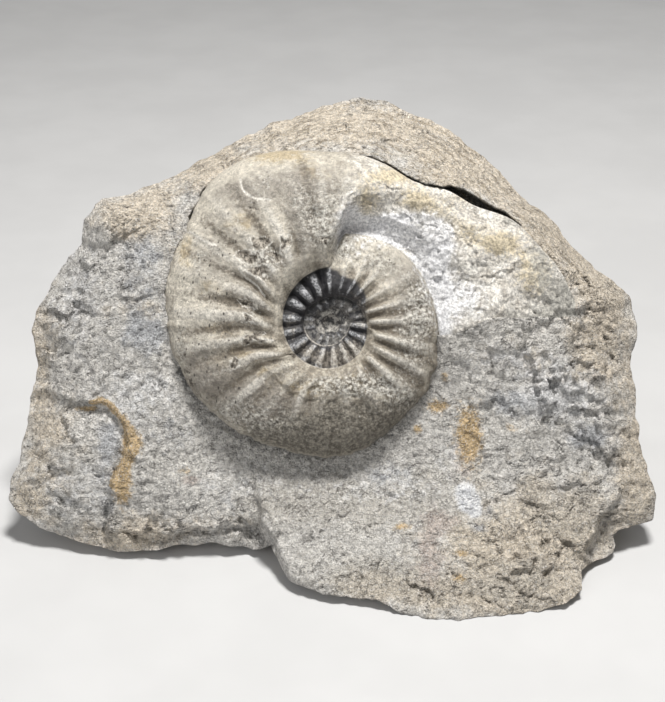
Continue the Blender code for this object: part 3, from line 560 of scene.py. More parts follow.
def facets(points, sizes, seed):
    """Height of flat broken facets, each tilted its own way, for sizes of a length and a slope."""
    total = np.zeros(len(points))
    for number, (length, slope) in enumerate(sizes):
        origin = Vector((7.7 * seed, 3.1 * number, 1.9 * seed))
        for i, point in enumerate(points.tolist()):
            place = Vector(point) / length + origin
            centre = noise.voronoi(place)[1][0]
            tilt = noise.cell_vector(centre * FACET_TILT_SCALE) - CELL_MIDDLE
            total[i] += length * slope * (place - centre).dot(tilt)
    return total


def warped(drawn, octaves, seed):
    """The drawn points pushed about by noise."""
    flat = on_plane(drawn)
    return drawn + np.column_stack((rough(flat, octaves, seed), rough(flat, octaves, seed + 1)))


def on_plane(drawn):
    """The drawn points as rows of three, with a zero for the third."""
    return np.column_stack((drawn, np.zeros(len(drawn))))


def areas(drawn, spots):
    """Strength of soft-edged spots at the drawn points."""
    total = np.zeros(len(drawn))
    for u, v, wide, high, strength in spots:
        total += strength * np.exp(-(((drawn - (u, v)) / (wide, high)) ** 2).sum(axis=1))
    return total


def smooth_curve(where, nodes, values):
    """Cubic curve through the nodes."""
    slopes = np.gradient(values, nodes)
    k = np.clip(np.searchsorted(nodes, where) - 1, 0, len(nodes) - 2)
    span = nodes[k + 1] - nodes[k]
    t = (where - nodes[k]) / span
    rise = t * t * (3.0 - 2.0 * t)
    bend = slopes[k] * (t - 1.0) * (t - 1.0) * t + slopes[k + 1] * t * t * (t - 1.0)
    return values[k] * (1.0 - rise) + values[k + 1] * rise + span * bend


def line_offset(points, line):
    """Distance to a chain of points, positive on the right-hand side of its run."""
    best = np.full(len(points), np.inf)
    side = np.ones(len(points))
    for start, end in zip(np.array(line[:-1], dtype=float), np.array(line[1:], dtype=float)):
        run = end - start
        reach = points - start
        t = np.clip(reach @ run / (run @ run), 0.0, 1.0)
        distance = np.hypot(*(reach - t[:, None] * run).T)
        cross = reach[:, 0] * run[1] - reach[:, 1] * run[0]
        nearer = distance < best
        best = np.where(nearer, distance, best)
        side = np.where(nearer, np.where(cross > 0.0, 1.0, -1.0), side)
    return best * side


def outline_offset(points, outline):
    """Distance to a closed outline, negative inside it."""
    closed = np.vstack((outline, outline[:1]))
    across, up = points.T
    within = np.zeros(len(points), dtype=bool)
    for (start_u, start_v), (end_u, end_v) in zip(closed[:-1], closed[1:]):
        if start_v != end_v:
            meets = start_u + (up - start_v) / (end_v - start_v) * (end_u - start_u)
            within ^= ((start_v > up) != (end_v > up)) & (across < meets)
    return np.abs(line_offset(points, closed)) * np.where(within, -1.0, 1.0)


def ledge_drop(points, ledges):
    """How far ledges sink the ground at the points."""
    total = np.zeros(len(points))
    for line, drop, width, reach in ledges:
        offset = line_offset(points, line)
        total += drop * np.exp(-np.abs(offset) / reach) * ease(offset, -width / 2, width / 2)
    return total


def furrow_drop(points, furrows):
    """How far furrows sink the ground at the points."""
    total = np.zeros(len(points))
    for line, fall, half_width in furrows:
        total += fall * np.exp(-(line_offset(points, line) / half_width) ** 2)
    return total


def lobe_marks(points):
    """How deep the points lie in a suture lobe or a pit, and how near they are to a lobe's rim."""
    bent = warped(points, LOBE_WARP, 30)
    inside = np.zeros(len(points))
    edge = np.zeros(len(points))
    for u, v, wide, high in LOBES:
        away = np.hypot(*((bent - (u, v)) / (wide, high)).T)
        inside = np.maximum(inside, np.exp(-away ** 4))
        edge = np.maximum(edge, np.exp(-((away - LOBE_RIM_PLACE) / LOBE_RIM_WIDTH) ** 2))
    for u, v, wide, high in PITS:
        away = np.hypot(*((bent - (u, v)) / (wide, high)).T)
        inside = np.maximum(inside, PIT_STRENGTH * np.exp(-away ** 4))
    return inside, edge * np.clip(1.0 - inside, 0.0, 1.0)


def stitch(first, second):
    """Triangles between two chains of vertices that run the same way."""
    faces = []
    i = 0
    j = 0
    while i < len(first) - 1 or j < len(second) - 1:
        if (i + 1) * (len(second) - 1) <= (j + 1) * (len(first) - 1):
            faces.append((first[i], first[i + 1], second[j]))
            i += 1
        else:
            faces.append((first[i], second[j + 1], second[j]))
            j += 1
    return faces


def bridge(ring, following):
    """Faces between two closed rings of vertices: quads where they match, triangles where not."""
    if len(ring) != len(following):
        return stitch(ring + ring[:1], following + following[:1])
    return list(zip(ring, ring[1:] + ring[:1], following[1:] + following[:1], following))


def make_piece(name, points, faces, marks, flat_base=False):
    """Closed mesh object from layout points and faces, with one float attribute for each mark."""
    mesh = bpy.data.meshes.new(name)
    mesh.from_pydata(to_world(points).tolist(), [], faces)
    for mark, values in marks.items():
        mesh.attributes.new(mark, "FLOAT", "POINT").data.foreach_set("value", values.astype(np.float32))
    shape = bmesh.new()
    shape.from_mesh(mesh)
    if flat_base:
        everything = shape.verts[:] + shape.edges[:] + shape.faces[:]
        bmesh.ops.bisect_plane(
            shape, geom=everything, dist=1e-7, plane_co=(0, 0, 0), plane_no=(0, 0, 1), clear_inner=True
        )
        rim = [edge for edge in shape.edges if edge.is_boundary]
        bmesh.ops.contextual_create(shape, geom=rim)
    bmesh.ops.recalc_face_normals(shape, faces=shape.faces)
    for face in shape.faces:
        face.smooth = True
    shape.to_mesh(mesh)
    shape.free()
    made = bpy.data.objects.new(name, mesh)
    bpy.context.collection.objects.link(made)
    return made


def disc_grid(cells):
    """Square grid of cells pulled onto the unit disc, its quads, and its border in order."""
    ticks = np.linspace(-1.0, 1.0, cells + 1)
    across, up = [grid.ravel() for grid in np.meshgrid(ticks, ticks)]
    disc = np.column_stack((across * np.sqrt(1 - up ** 2 / 2), up * np.sqrt(1 - across ** 2 / 2)))
    side = cells + 1
    quads = []
    for j in range(cells):
        for i in range(cells):
            corner = j * side + i
            quads.append((corner, corner + 1, corner + side + 1, corner + side))
    border = [i for i in range(cells)]
    border += [j * side + cells for j in range(cells)]
    border += [cells * side + i for i in range(cells, 0, -1)]
    border += [j * side for j in range(cells, 0, -1)]
    return disc, quads, border


def rim_at(angle):
    """Rim radius about the hub and rim depth at the angles."""
    reach = RIM[:, :2] - HUB
    angles = np.arctan2(reach[:, 1], reach[:, 0])
    radius = np.interp(angle, angles, np.hypot(*reach.T), period=2 * math.pi)
    depth = np.interp(angle, angles, RIM[:, 2], period=2 * math.pi)
    along = radius[:, None] * np.column_stack((np.cos(angle), np.sin(angle), np.zeros(len(angle))))
    return radius + rough(along, RIM_CHIPS, 15), depth + 2.0 * rough(along, RIM_CHIPS, 16)


def plate_kernel(first, second):
    """How strongly each of the second points bends the plate at each of the first."""
    gap = np.hypot(first[:, None, 0] - second[None, :, 0], first[:, None, 1] - second[None, :, 1])
    return gap ** 2 * np.log(gap + 1e-6)


def sounded_depth(drawn):
    """Thin plate through the soundings, read at the drawn points."""
    known = SOUNDINGS[:, :2]
    count = len(known)
    flat = np.column_stack((np.ones(count), known))
    system = np.block([[plate_kernel(known, known), flat], [flat.T, np.zeros((3, 3))]])
    weights = np.linalg.solve(system, np.append(SOUNDINGS[:, 2], np.zeros(3)))
    spread = np.column_stack((np.ones(len(drawn)), drawn))
    return plate_kernel(drawn, known) @ weights[:count] + spread @ weights[count:]


def ground_depth(drawn):
    """Depth of the stone's face before the rim turns it down."""
    flat = on_plane(drawn)
    bent = warped(drawn, LINE_WARP, 9)
    depth = sounded_depth(drawn) - ledge_drop(bent, LEDGES) - furrow_drop(bent, FURROWS) + areas(drawn, LUMPS)
    left = ease(-line_offset(bent, FOOT_LEFT), -FOOT_WALL / 2, FOOT_WALL / 2)
    right = ease(line_offset(bent, FOOT_RIGHT), -FOOT_WALL / 2, FOOT_WALL / 2)
    fall = np.clip((FOOT_TOP - drawn[:, 1]) / (FOOT_TOP - FOOT_BOTTOM), 0.0, FOOT_MOST)
    depth += FOOT_SWELL * fall ** FOOT_POWER * left * right
    coarse = COARSE_LEAST + np.clip(areas(drawn, COARSE_AREAS), 0.0, 1.0)
    depth += coarse * facets(on_plane(warped(drawn, FACET_WARP, 18)), FACETS, 1)
    depth += rough(flat, GROUND_ROUGHNESS, 1) + rough(flat, GROUND_GRAIN, 2)
    return depth + streaks(drawn)


def streaks(drawn):
    """Fine ridges that run along the top of the block."""
    along, inward, here = along_rim(drawn)
    place = np.column_stack((along, inward / STREAK_WIDTH, np.zeros(len(drawn))))
    return STREAK_HEIGHT * here * rough(place, STREAK_OCTAVES, 5)


def along_rim(drawn):
    """Place along the rim, distance inside it, and how streaky the stone is there."""
    reach = drawn - HUB
    angle = np.arctan2(reach[:, 1], reach[:, 0])
    radius, _ = rim_at(angle)
    raised = drawn[:, 1] + STREAK_LEAN * np.maximum(drawn[:, 0], 0.0)
    return angle * STREAK_TURN, radius - np.hypot(*reach.T), ease(raised, *STREAK_RISE)


def oval_mark(drawn):
    """White oval set in the stone, from 0 outside it to 1 inside."""
    reach = warped(drawn, FACET_WARP, 18) - OVAL_CENTRE
    along = reach @ (math.cos(OVAL_TILT), math.sin(OVAL_TILT))
    across = reach @ (-math.sin(OVAL_TILT), math.cos(OVAL_TILT))
    return 1.0 - ease(np.hypot(along / OVAL_RADII[0], across / OVAL_RADII[1]), *OVAL_EDGE)


def block_front(disc, outline):
    """Layout points of the face for points of the unit disc, as drawn, how clear of the socket, the moat."""
    share = np.hypot(*disc.T)
    radius, rim_depth = rim_at(np.arctan2(disc[:, 1], disc[:, 0]))
    drawn = HUB + disc * radius[:, None]
    roll = np.clip((share - 1.0 + RIM_ROLL) / RIM_ROLL, 0.0, 1.0) ** 2
    depth = ground_depth(drawn)
    turned = np.degrees(np.arctan2(-drawn[:, 1], drawn[:, 0])) % 360.0
    gap = np.interp(turned, GAP_ANGLES, GAP_WIDTHS)
    ragged = rough(on_plane(drawn), GAP_WANDER, 11) * np.where(gap < 0.0, 1.0, GAP_WANDER_OPEN)
    beside = outline_offset(drawn, outline)
    clear = beside - gap - ragged
    moat = np.interp(turned, MOAT_ANGLES, MOAT_DEPTHS) * np.exp(-np.maximum(beside, 0.0) / MOAT_REACH)
    sunk = 1.0 - ease(clear, -SOCKET_WALL, 0.0)
    depth = (depth - moat) * (1.0 - sunk) + GROUND_UNDER_FOSSIL * sunk
    return sight(drawn, depth * (1.0 - roll) + rim_depth * roll), drawn, clear, moat


def block_back(disc):
    """Layout points of the sides and back for points of the unit disc, its border on the rim."""
    share = np.hypot(*disc.T)
    toward = disc / np.maximum(share, 1e-9)[:, None]
    radius, rim_depth = rim_at(np.arctan2(disc[:, 1], disc[:, 0]))
    rim = sight(HUB + toward * radius[:, None], rim_depth)
    points = np.column_stack((HUB + (rim[:, :2] - HUB) * share[:, None], rim_depth))
    depth_share = np.clip(1.0 - share ** BACK_POWER, 0.0, 1.0) ** (1.0 / BACK_POWER)
    points[:, 2] += (BACK_DEPTH + BACK_SLOPE * points[:, 1] - rim_depth) * depth_share
    for normal, offset in BACK_PLANES:
        beyond = np.maximum(points @ np.array(normal) - offset, 0.0)
        points -= np.outer(beyond * np.minimum(depth_share * PLANE_BLEND, 1.0), normal)
    outward = np.column_stack((toward * share[:, None], -depth_share))
    lift = rough(points, BACK_ROUGHNESS, 4) + rough(points, BACK_GRAIN, 6) + facets(points, BACK_FACETS, 8)
    return points + outward * (lift * np.minimum(depth_share * LIFT_BLEND, 1.0))[:, None]


def stone_marks(drawn, clear, moat, total):
    """Float marks of the stone for the points of its face; the rest of the block is tan and clean."""
    offset = line_offset(warped(drawn, LINE_WARP, 9), CRESCENT)
    # painted shade: the stone is darkened in the crack between it and the fossil
    crack = 1.0 - ease(clear, *CRACK_EDGE)
    crack *= ease(drawn[:, 1], *CRACK_RISE) * ease(drawn[:, 0], *CRACK_REACH)
    along, inward, streaky = along_rim(drawn)
    face = {mark: areas(drawn, spots) for mark, spots in STONE_AREAS.items()}
    face["ochre"] += np.exp(-((offset + CRESCENT_OFFSET) / CRESCENT_HALF_WIDTH) ** 2)
    # painted shade into the dark mark: in the crack, and on the moat's floor partly as cast shadow and partly
    # as stain
    face["dark"] += crack + MOAT_SHADE * np.maximum(moat - MOAT_SHADE_FROM, 0.0)
    face = {mark: np.clip(values, 0.0, MOST_STAIN) for mark, values in face.items()}
    face |= {"oval": oval_mark(drawn), "along": along, "across": inward, "streaky": streaky}
    behind = total - len(drawn)
    return {
        mark: np.append(values, np.full(behind, BACK_TAN if mark == "tan" else 0.0))
        for mark, values in face.items()
    }


def covered_radius(angle):
    """Radius of the seam at any angle turned: the drawn part, shrunk turn by turn inside it."""
    first, last = SEAM_ANGLES[[0, -1]]
    turns = np.maximum(np.ceil((first - angle) / 360.0), 0.0)
    drawn = smooth_curve(np.clip(angle + 360.0 * turns, first, last), SEAM_ANGLES, SEAM_RADII)
    return drawn * COIL_GROWTH ** -turns


def build_block(outline):
    """The whole block: its face, rings of points over the rim, and the patch that closes its back."""
    disc, quads, border = disc_grid(BLOCK_CELLS)
    front, drawn, clear, moat = block_front(disc, outline)
    points = [front]
    faces = list(quads)
    count = len(disc)
    ring = border
    edge = disc[border]
    turn = math.acos(BACK_PATCH ** (BACK_POWER / 2))
    rings = NEAR_RINGS + FAR_RINGS
    for number in range(1, rings + 1):
        share = math.cos(turn * (number / rings) ** RING_POWER) ** (2 / BACK_POWER)
        if number == NEAR_RINGS + 1:
            edge = edge[::2]
        points.append(block_back(edge * share))
        following = list(range(count, count + len(edge)))
        count += len(edge)
        faces += bridge(ring, following)
        ring = following
    patch, patch_quads, patch_border = disc_grid(BLOCK_CELLS // 2)
    patch_share = math.cos(turn) ** (2 / BACK_POWER) * PATCH_INSET
    points.append(block_back(patch * patch_share))
    faces += [tuple(count + index for index in quad) for quad in patch_quads]
    patch_ring = [count + index for index in patch_border]
    faces += stitch(ring + ring[:1], patch_ring + patch_ring[:1])
    layout = np.vstack(points)
    marks = stone_marks(drawn, clear, moat, len(layout))
    return make_piece("weathered_stone", layout, faces, marks, flat_base=True)


def edge_radius(angle):
    """Radius of the shell's outer edge at the angles turned, in degrees."""
    inner = EDGE_RADII[0] * COIL_GROWTH ** ((angle - EDGE_ANGLES[0]) / 360.0)
    drawn = smooth_curve(np.clip(angle, EDGE_ANGLES[0], EDGE_ANGLES[-1]), EDGE_ANGLES, EDGE_RADII)
    return np.where(angle < EDGE_ANGLES[0], inner, drawn)


def seam_radius(angle):
    """Radius where a turn meets the turn inside it."""
    bare = ease(angle, BREAK_ANGLE, BREAK_ANGLE + BREAK_SPAN)
    return covered_radius(angle) * (1.0 - bare) + edge_radius(angle - 360.0) * bare


def crest_height(angle):
    """Height of a turn's crest, which grows with the spiral."""
    return FLANK_HEIGHT * COIL_GROWTH ** ((angle - BREAK_ANGLE) / 360.0)


def rib_count(straight, share):
    """Ribs passed along the spiral, unevenly spaced."""
    even = np.interp(straight, RIB_COUNT_ANGLES, RIB_COUNTS)
    wander = rough(np.column_stack((even, share, np.zeros(len(even)))), RIB_SPACING_OCTAVES, 21)
    return even + RIB_SPACING_WANDER * wander


def shell_height(angle, share, seam):
    """Height of the flank across a turn: up from the seam to the crest and over to the edge."""
    crest = crest_height(angle)
    open_from = BREAK_ANGLE - 360.0
    bare = ease(angle, open_from, open_from + BREAK_SPAN) * (1.0 - ease(angle, *TRENCH_CLOSES))
    trench = np.interp(angle + 360.0, TRENCH_ANGLES, TRENCH_HEIGHTS) * bare
    summit = FLANK_CREST + (FLANK_CREST_LATE - FLANK_CREST) * ease(angle, *FLANK_CREST_ANGLES)
    rise = 1.0 - (1.0 - np.clip(share / summit, 0.0, 1.0)) ** 3
    out = np.clip((share - summit) / (1.0 - summit), 0.0, 1.0)
    fall = (1.0 - out ** FLANK_POWER) ** (1.0 / FLANK_POWER)
    inside = seam + (crest - seam) * rise
    outside = trench + (crest - trench) * fall
    return np.where(share < summit, inside, outside)


def rib_wave(straight, share):
    """Rise and fall of the ribs, from -1 to 1, each of its own size."""
    count = rib_count(straight, share)
    crest = 0.5 + 0.5 * np.cos(2 * math.pi * count)
    wave = 2.0 * crest ** np.interp(straight, RIB_SHARPNESS_ANGLES, RIB_SHARPNESS) - 1.0
    place = np.column_stack((count, 2.0 * share, np.ones(len(count))))
    size = 1.0 + RIB_SIZE_WANDER * rough(place, RIB_SIZE_OCTAVES, 22)
    return wave * np.clip(size, *RIB_SIZES)


def chamber_share(angle, share):
    """How far the surface has passed from shell to chamber filling."""
    inner = ease(angle - BREAK_ANGLE, *BREAK_INNER)
    outer = ease(angle - BREAK_ANGLE, *BREAK_OUTER)
    outward = ease(share, *BREAK_SHARES)
    return inner * (1.0 - outward) + outer * outward


def chamber_depth(at, shell):
    """Surface of the rough filling of the living chamber, which starts out level with the shell."""
    flat = on_plane(at.drawn)
    level = np.interp(at.share, CHAMBER_SHARES, CHAMBER_HEIGHTS)
    level = at.seam + (level - at.seam) * ease(at.share, 0.0, CHAMBER_SHARES[1])
    near, far = CHAMBER_CARRY_REACH
    reach = near + (far - near) * ease(at.angle, BREAK_ANGLE, CHAMBER_CARRY_WIDENS)
    carried = CHAMBER_CARRY * (1.0 - ease(at.angle, BREAK_ANGLE, CHAMBER_CARRY_END))
    carried *= ease(at.share / reach, 0.0, 1.0)
    level = level * (1.0 - carried) + shell * carried
    lumps = rough(flat, CHAMBER_ROUGHNESS, 7) + rough(flat, CHAMBER_GRAIN, 13)
    lumps += areas(at.drawn, CHAMBER_LUMPS)
    lumps += facets(on_plane(warped(at.drawn, FACET_WARP, 18)), CHAMBER_FACETS, 14)
    return level + lumps * ease(at.share, *CHAMBER_LUMPS_FROM)


def turn_places(turn, rows, seam_heights):
    """Where the points of one turn lie on the spiral, columns by rows; turn 0 is the last."""
    last = turn == 0
    columns = np.arange(SPIRAL_COLUMNS + 1 if last else SPIRAL_COLUMNS) / SPIRAL_COLUMNS
    heights = np.append(seam_heights, seam_heights[-1:]) if last else seam_heights
    column, row = [grid.ravel() for grid in np.meshgrid(columns, np.linspace(0, 1, rows + 1), indexing="ij")]
    straight = COIL_START + 360.0 * (column - turn)
    covered = ease(straight + 360.0, BREAK_ANGLE, BREAK_ANGLE + BREAK_SPAN)
    reach = row if last else row * (COVERED_REACH + (1.0 - COVERED_REACH) * covered)
    lead = np.interp(straight, RIB_SWEEP_ANGLES, RIB_SWEEPS) * ease(reach, 0.0, RIB_SWEEP_REACH)
    lag = MOUTH_LAG * ease(straight, MOUTH_FROM, MOUTH_ANGLE) * ease(row, 0.0, MOUTH_LAG_REACH)
    angle = straight + lead - lag
    turned = np.radians(angle)
    toward = np.column_stack((np.cos(turned), -np.sin(turned)))
    inner = seam_radius(angle)
    full = edge_radius(angle)
    if last:
        chipped = np.interp(angle, EDGE_CHIP_ANGLES, (0.0, 1.0, 1.0, 0.0))
        full = full + chipped * rough(on_plane(toward * full[:, None]), EDGE_CHIPS, 27)
    outer = full if last else seam_radius(angle + 360.0)
    radius = inner + (outer - inner) * row
    return SimpleNamespace(
        turn=turn, last=last, row=row, seam=np.repeat(heights, rows + 1), straight=straight, angle=angle,
        inner=inner, outer=outer, radius=radius, share=(radius - inner) / (full - inner),
        drawn=toward * radius[:, None],
    )


def faded_ribs(at, worn):
    """The ribs of a turn as a wave that dies out at its seam, at its edge and where it is worn."""
    wave = rib_wave(at.straight, at.share) * (1.0 - RIB_WORN_SHARE * worn)
    wave *= ease(at.share, *(RIB_START_LAST if at.last else RIB_START))
    wave *= 1.0 - (1.0 - RIB_OUTER_SHARE) * ease(at.share, *RIB_OUTER)
    wave *= 1.0 - ease(at.share, *RIB_END)
    return wave * (1.0 - np.interp(at.straight, SMOOTH_ANGLES, SMOOTH_SHARES) * ease(at.share, *SMOOTH_FROM))


def shell_chips(at, marks):
    """Fine relief of the shell: grain, broken patches, steps, cracks and suture lobes."""
    flat = on_plane(at.drawn)
    bent = warped(at.drawn, SHELL_LINE_WARP, 24)
    broken = marks["rugged"] + WORN_ROUGHNESS * marks["worn"] + LOBE_ROUGHNESS * marks["lobe"]
    chips = rough(flat, SHELL_GRAIN, 12) * np.where(at.straight > BARE_FROM, 1.0, INNER_GRAIN_SHARE)
    chips += rough(flat, RUGGED_GRAIN, 26) * broken
    chips -= ledge_drop(bent, SHELL_LEDGES) + furrow_drop(bent, SHELL_FURROWS)
    chips += LOBE_RIM * marks["edge"] - LOBE_DEPTH * marks["lobe"]
    return chips * ease(at.row, *SOFT_SEAM) * (1.0 - ease(at.row, *SOFT_EDGE))


def seam_shadow(at):
    """Shadow under the edge of the next turn, from 0 to 1."""
    if at.turn not in SHADOW_ANGLES:
        return np.zeros(len(at.row))
    here = np.interp(at.straight, SHADOW_ANGLES[at.turn], SHADOW_TONES)
    return here * (1.0 - ease(at.outer - at.radius, *SHADOW_ENDS[at.turn]))


def scar_mark(drawn):
    """How near the points are to a scar, from 0 to 1."""
    nudged = warped(drawn, SCAR_WARP, 28)
    return np.max([np.exp(-(line_offset(nudged, line) / SCAR_HALF_WIDTH) ** 2) for line in SCARS], axis=0)


def spot_marks(drawn):
    """Marks of the shell that depend on the place alone."""
    marks = {mark: areas(drawn, spots) for mark, spots in SHELL_AREAS.items()}
    for mark in ("worn", "rugged"):
        marks[mark] = np.clip(marks[mark], 0.0, 1.0)
    marks["speck"] += SPECK_EVERYWHERE
    marks["lobe"], marks["edge"] = lobe_marks(drawn)
    return marks


def spiral_points(turn, rows, seam_heights):
    """Layout points of one turn, columns by rows, with their marks and the outer row's heights."""
    at = turn_places(turn, rows, seam_heights)
    marks = spot_marks(at.drawn)
    wave = faded_ribs(at, marks["worn"])
    strength = np.interp(at.angle, RIB_STRENGTH_ANGLES, RIB_STRENGTHS)
    size = np.where(at.straight > BARE_FROM, RIB_SHARE, INNER_RIB_SHARE)
    height = shell_height(at.angle, at.share, at.seam)
    height += wave * crest_height(at.angle) * size * strength + shell_chips(at, marks)
    if at.last:
        gone = chamber_share(at.angle, at.share)
        height = height * (1.0 - gone) + chamber_depth(at, height) * gone
        at_mouth = ease(at.straight, MOUTH_ANGLE - MOUTH_BLEND, MOUTH_ANGLE)
        height = height * (1.0 - at_mouth) + (ground_depth(at.drawn) + MOUTH_STEP) * at_mouth
        coil = np.zeros(len(gone))
        rim = ease(at.share, *WORN_RIM) * np.interp(at.angle, WORN_RIM_ANGLES, WORN_RIM_TONES)
        marks["edge"] = np.maximum(marks["edge"], scar_mark(at.drawn))
    else:
        gone = np.zeros(len(at.row))
        coil = 1.0 - ease(at.radius - np.interp(at.straight, DARK_ANGLES, DARK_RADII), *DARK_EDGE)
        rim = gone
    kept = 1.0 - gone
    lip = np.exp(-((at.radius - at.inner) / LIP_WIDTH) ** 2) * np.interp(at.straight, LIP_ANGLES, LIP_TONES)
    marks["bloom"] *= np.maximum(gone, BLOOM_ON_SHELL)
    marks |= {
        "along": rib_count(at.straight, at.share),
        "across": at.radius,
        "filling": gone,
        # ridge: rib crests painted paler, partly painted highlight; groove: rib valleys painted darker,
        # partly painted shade over their own brown
        "ridge": np.maximum(wave, 0.0) * np.minimum(strength + RIDGE_LEAST, 1.0) * kept,
        "groove": np.maximum(-wave, 0.0) * np.interp(at.angle, GROOVE_ANGLES, GROOVE_TONES) * kept,
        "coil": coil,
        "core": np.full(len(gone), np.interp(turn, CORE_TURNS, CORE_TONES)),
        "nucleus": 1.0 - ease(at.radius, *NUCLEUS),
        # deep: where the painted shadow under the next turn's edge falls
        "deep": seam_shadow(at),
        "lip": lip * kept,
        "rim": rim * kept,
    }
    return sight(at.drawn, height), marks, height[rows::rows + 1]


def build_fossil():
    """The whole fossil, and its outline on the face."""
    points = []
    marks = {}
    faces = []
    count = 0
    turns = len(SPIRAL_ROWS)
    inner_height = INNER_WALL * FLANK_HEIGHT * COIL_GROWTH ** -turns
    seam_heights = np.full(SPIRAL_COLUMNS, inner_height)
    for number, rows in enumerate(SPIRAL_ROWS):
        turn = turns - 1 - number
        made, made_marks, outer = spiral_points(turn, rows, seam_heights)
        made = made.reshape(-1, rows + 1, 3)
        columns = len(made)
        first_row = 0 if number == 0 else 1
        fresh = columns * (rows + 1 - first_row)
        index = np.zeros((columns, rows + 1), dtype=int)
        index[:, first_row:] = count + np.arange(fresh).reshape(columns, -1)
        points.append(made[:, first_row:].reshape(-1, 3))
        for mark, values in made_marks.items():
            marks.setdefault(mark, []).append(values.reshape(-1, rows + 1)[:, first_row:].ravel())
        count += fresh
        if number > 0:
            index[:SPIRAL_COLUMNS, 0] = inner_edge
        if turn == 0:
            index[-1, 0] = index[0, -1]
        corners = np.stack((index[:-1, :-1], index[1:, :-1], index[1:, 1:], index[:-1, 1:]), axis=-1)
        faces += [tuple(face) for face in corners.reshape(-1, 4).tolist()]
        if number == 0:
            hole = index[:, 0].tolist() + index[0, :0:-1].tolist()
        else:
            faces += stitch(turn_end, index[0].tolist())
        turn_end = index[-1].tolist()
        inner_edge = index[:SPIRAL_COLUMNS, -1]
        seam_heights = outer[:SPIRAL_COLUMNS]
    layout = np.vstack(points + [np.array(((*COIL_MIDDLE, inner_height - COIL_MIDDLE_DROP),))])
    faces += [(start, end, count) for start, end in zip(hole, hole[1:] + hole[:1])]
    count += 1
    outline = index[:, -1].tolist() + index[-1, -2:0:-1].tolist()
    edge = layout[outline]
    sunk = edge.copy()
    sunk[:, 2] = SEAT_DEPTH
    foot = list(range(count, count + len(outline)))
    faces += bridge(outline, foot)
    faces.append(tuple(foot))
    joined = {}
    for mark, runs in marks.items():
        values = np.append(np.concatenate(runs), 1.0 if mark in ("coil", "core") else 0.0)
        joined[mark] = np.append(values, values[outline])
    return make_piece("ribbed_shell", np.vstack((layout, sunk)), faces, joined), edge


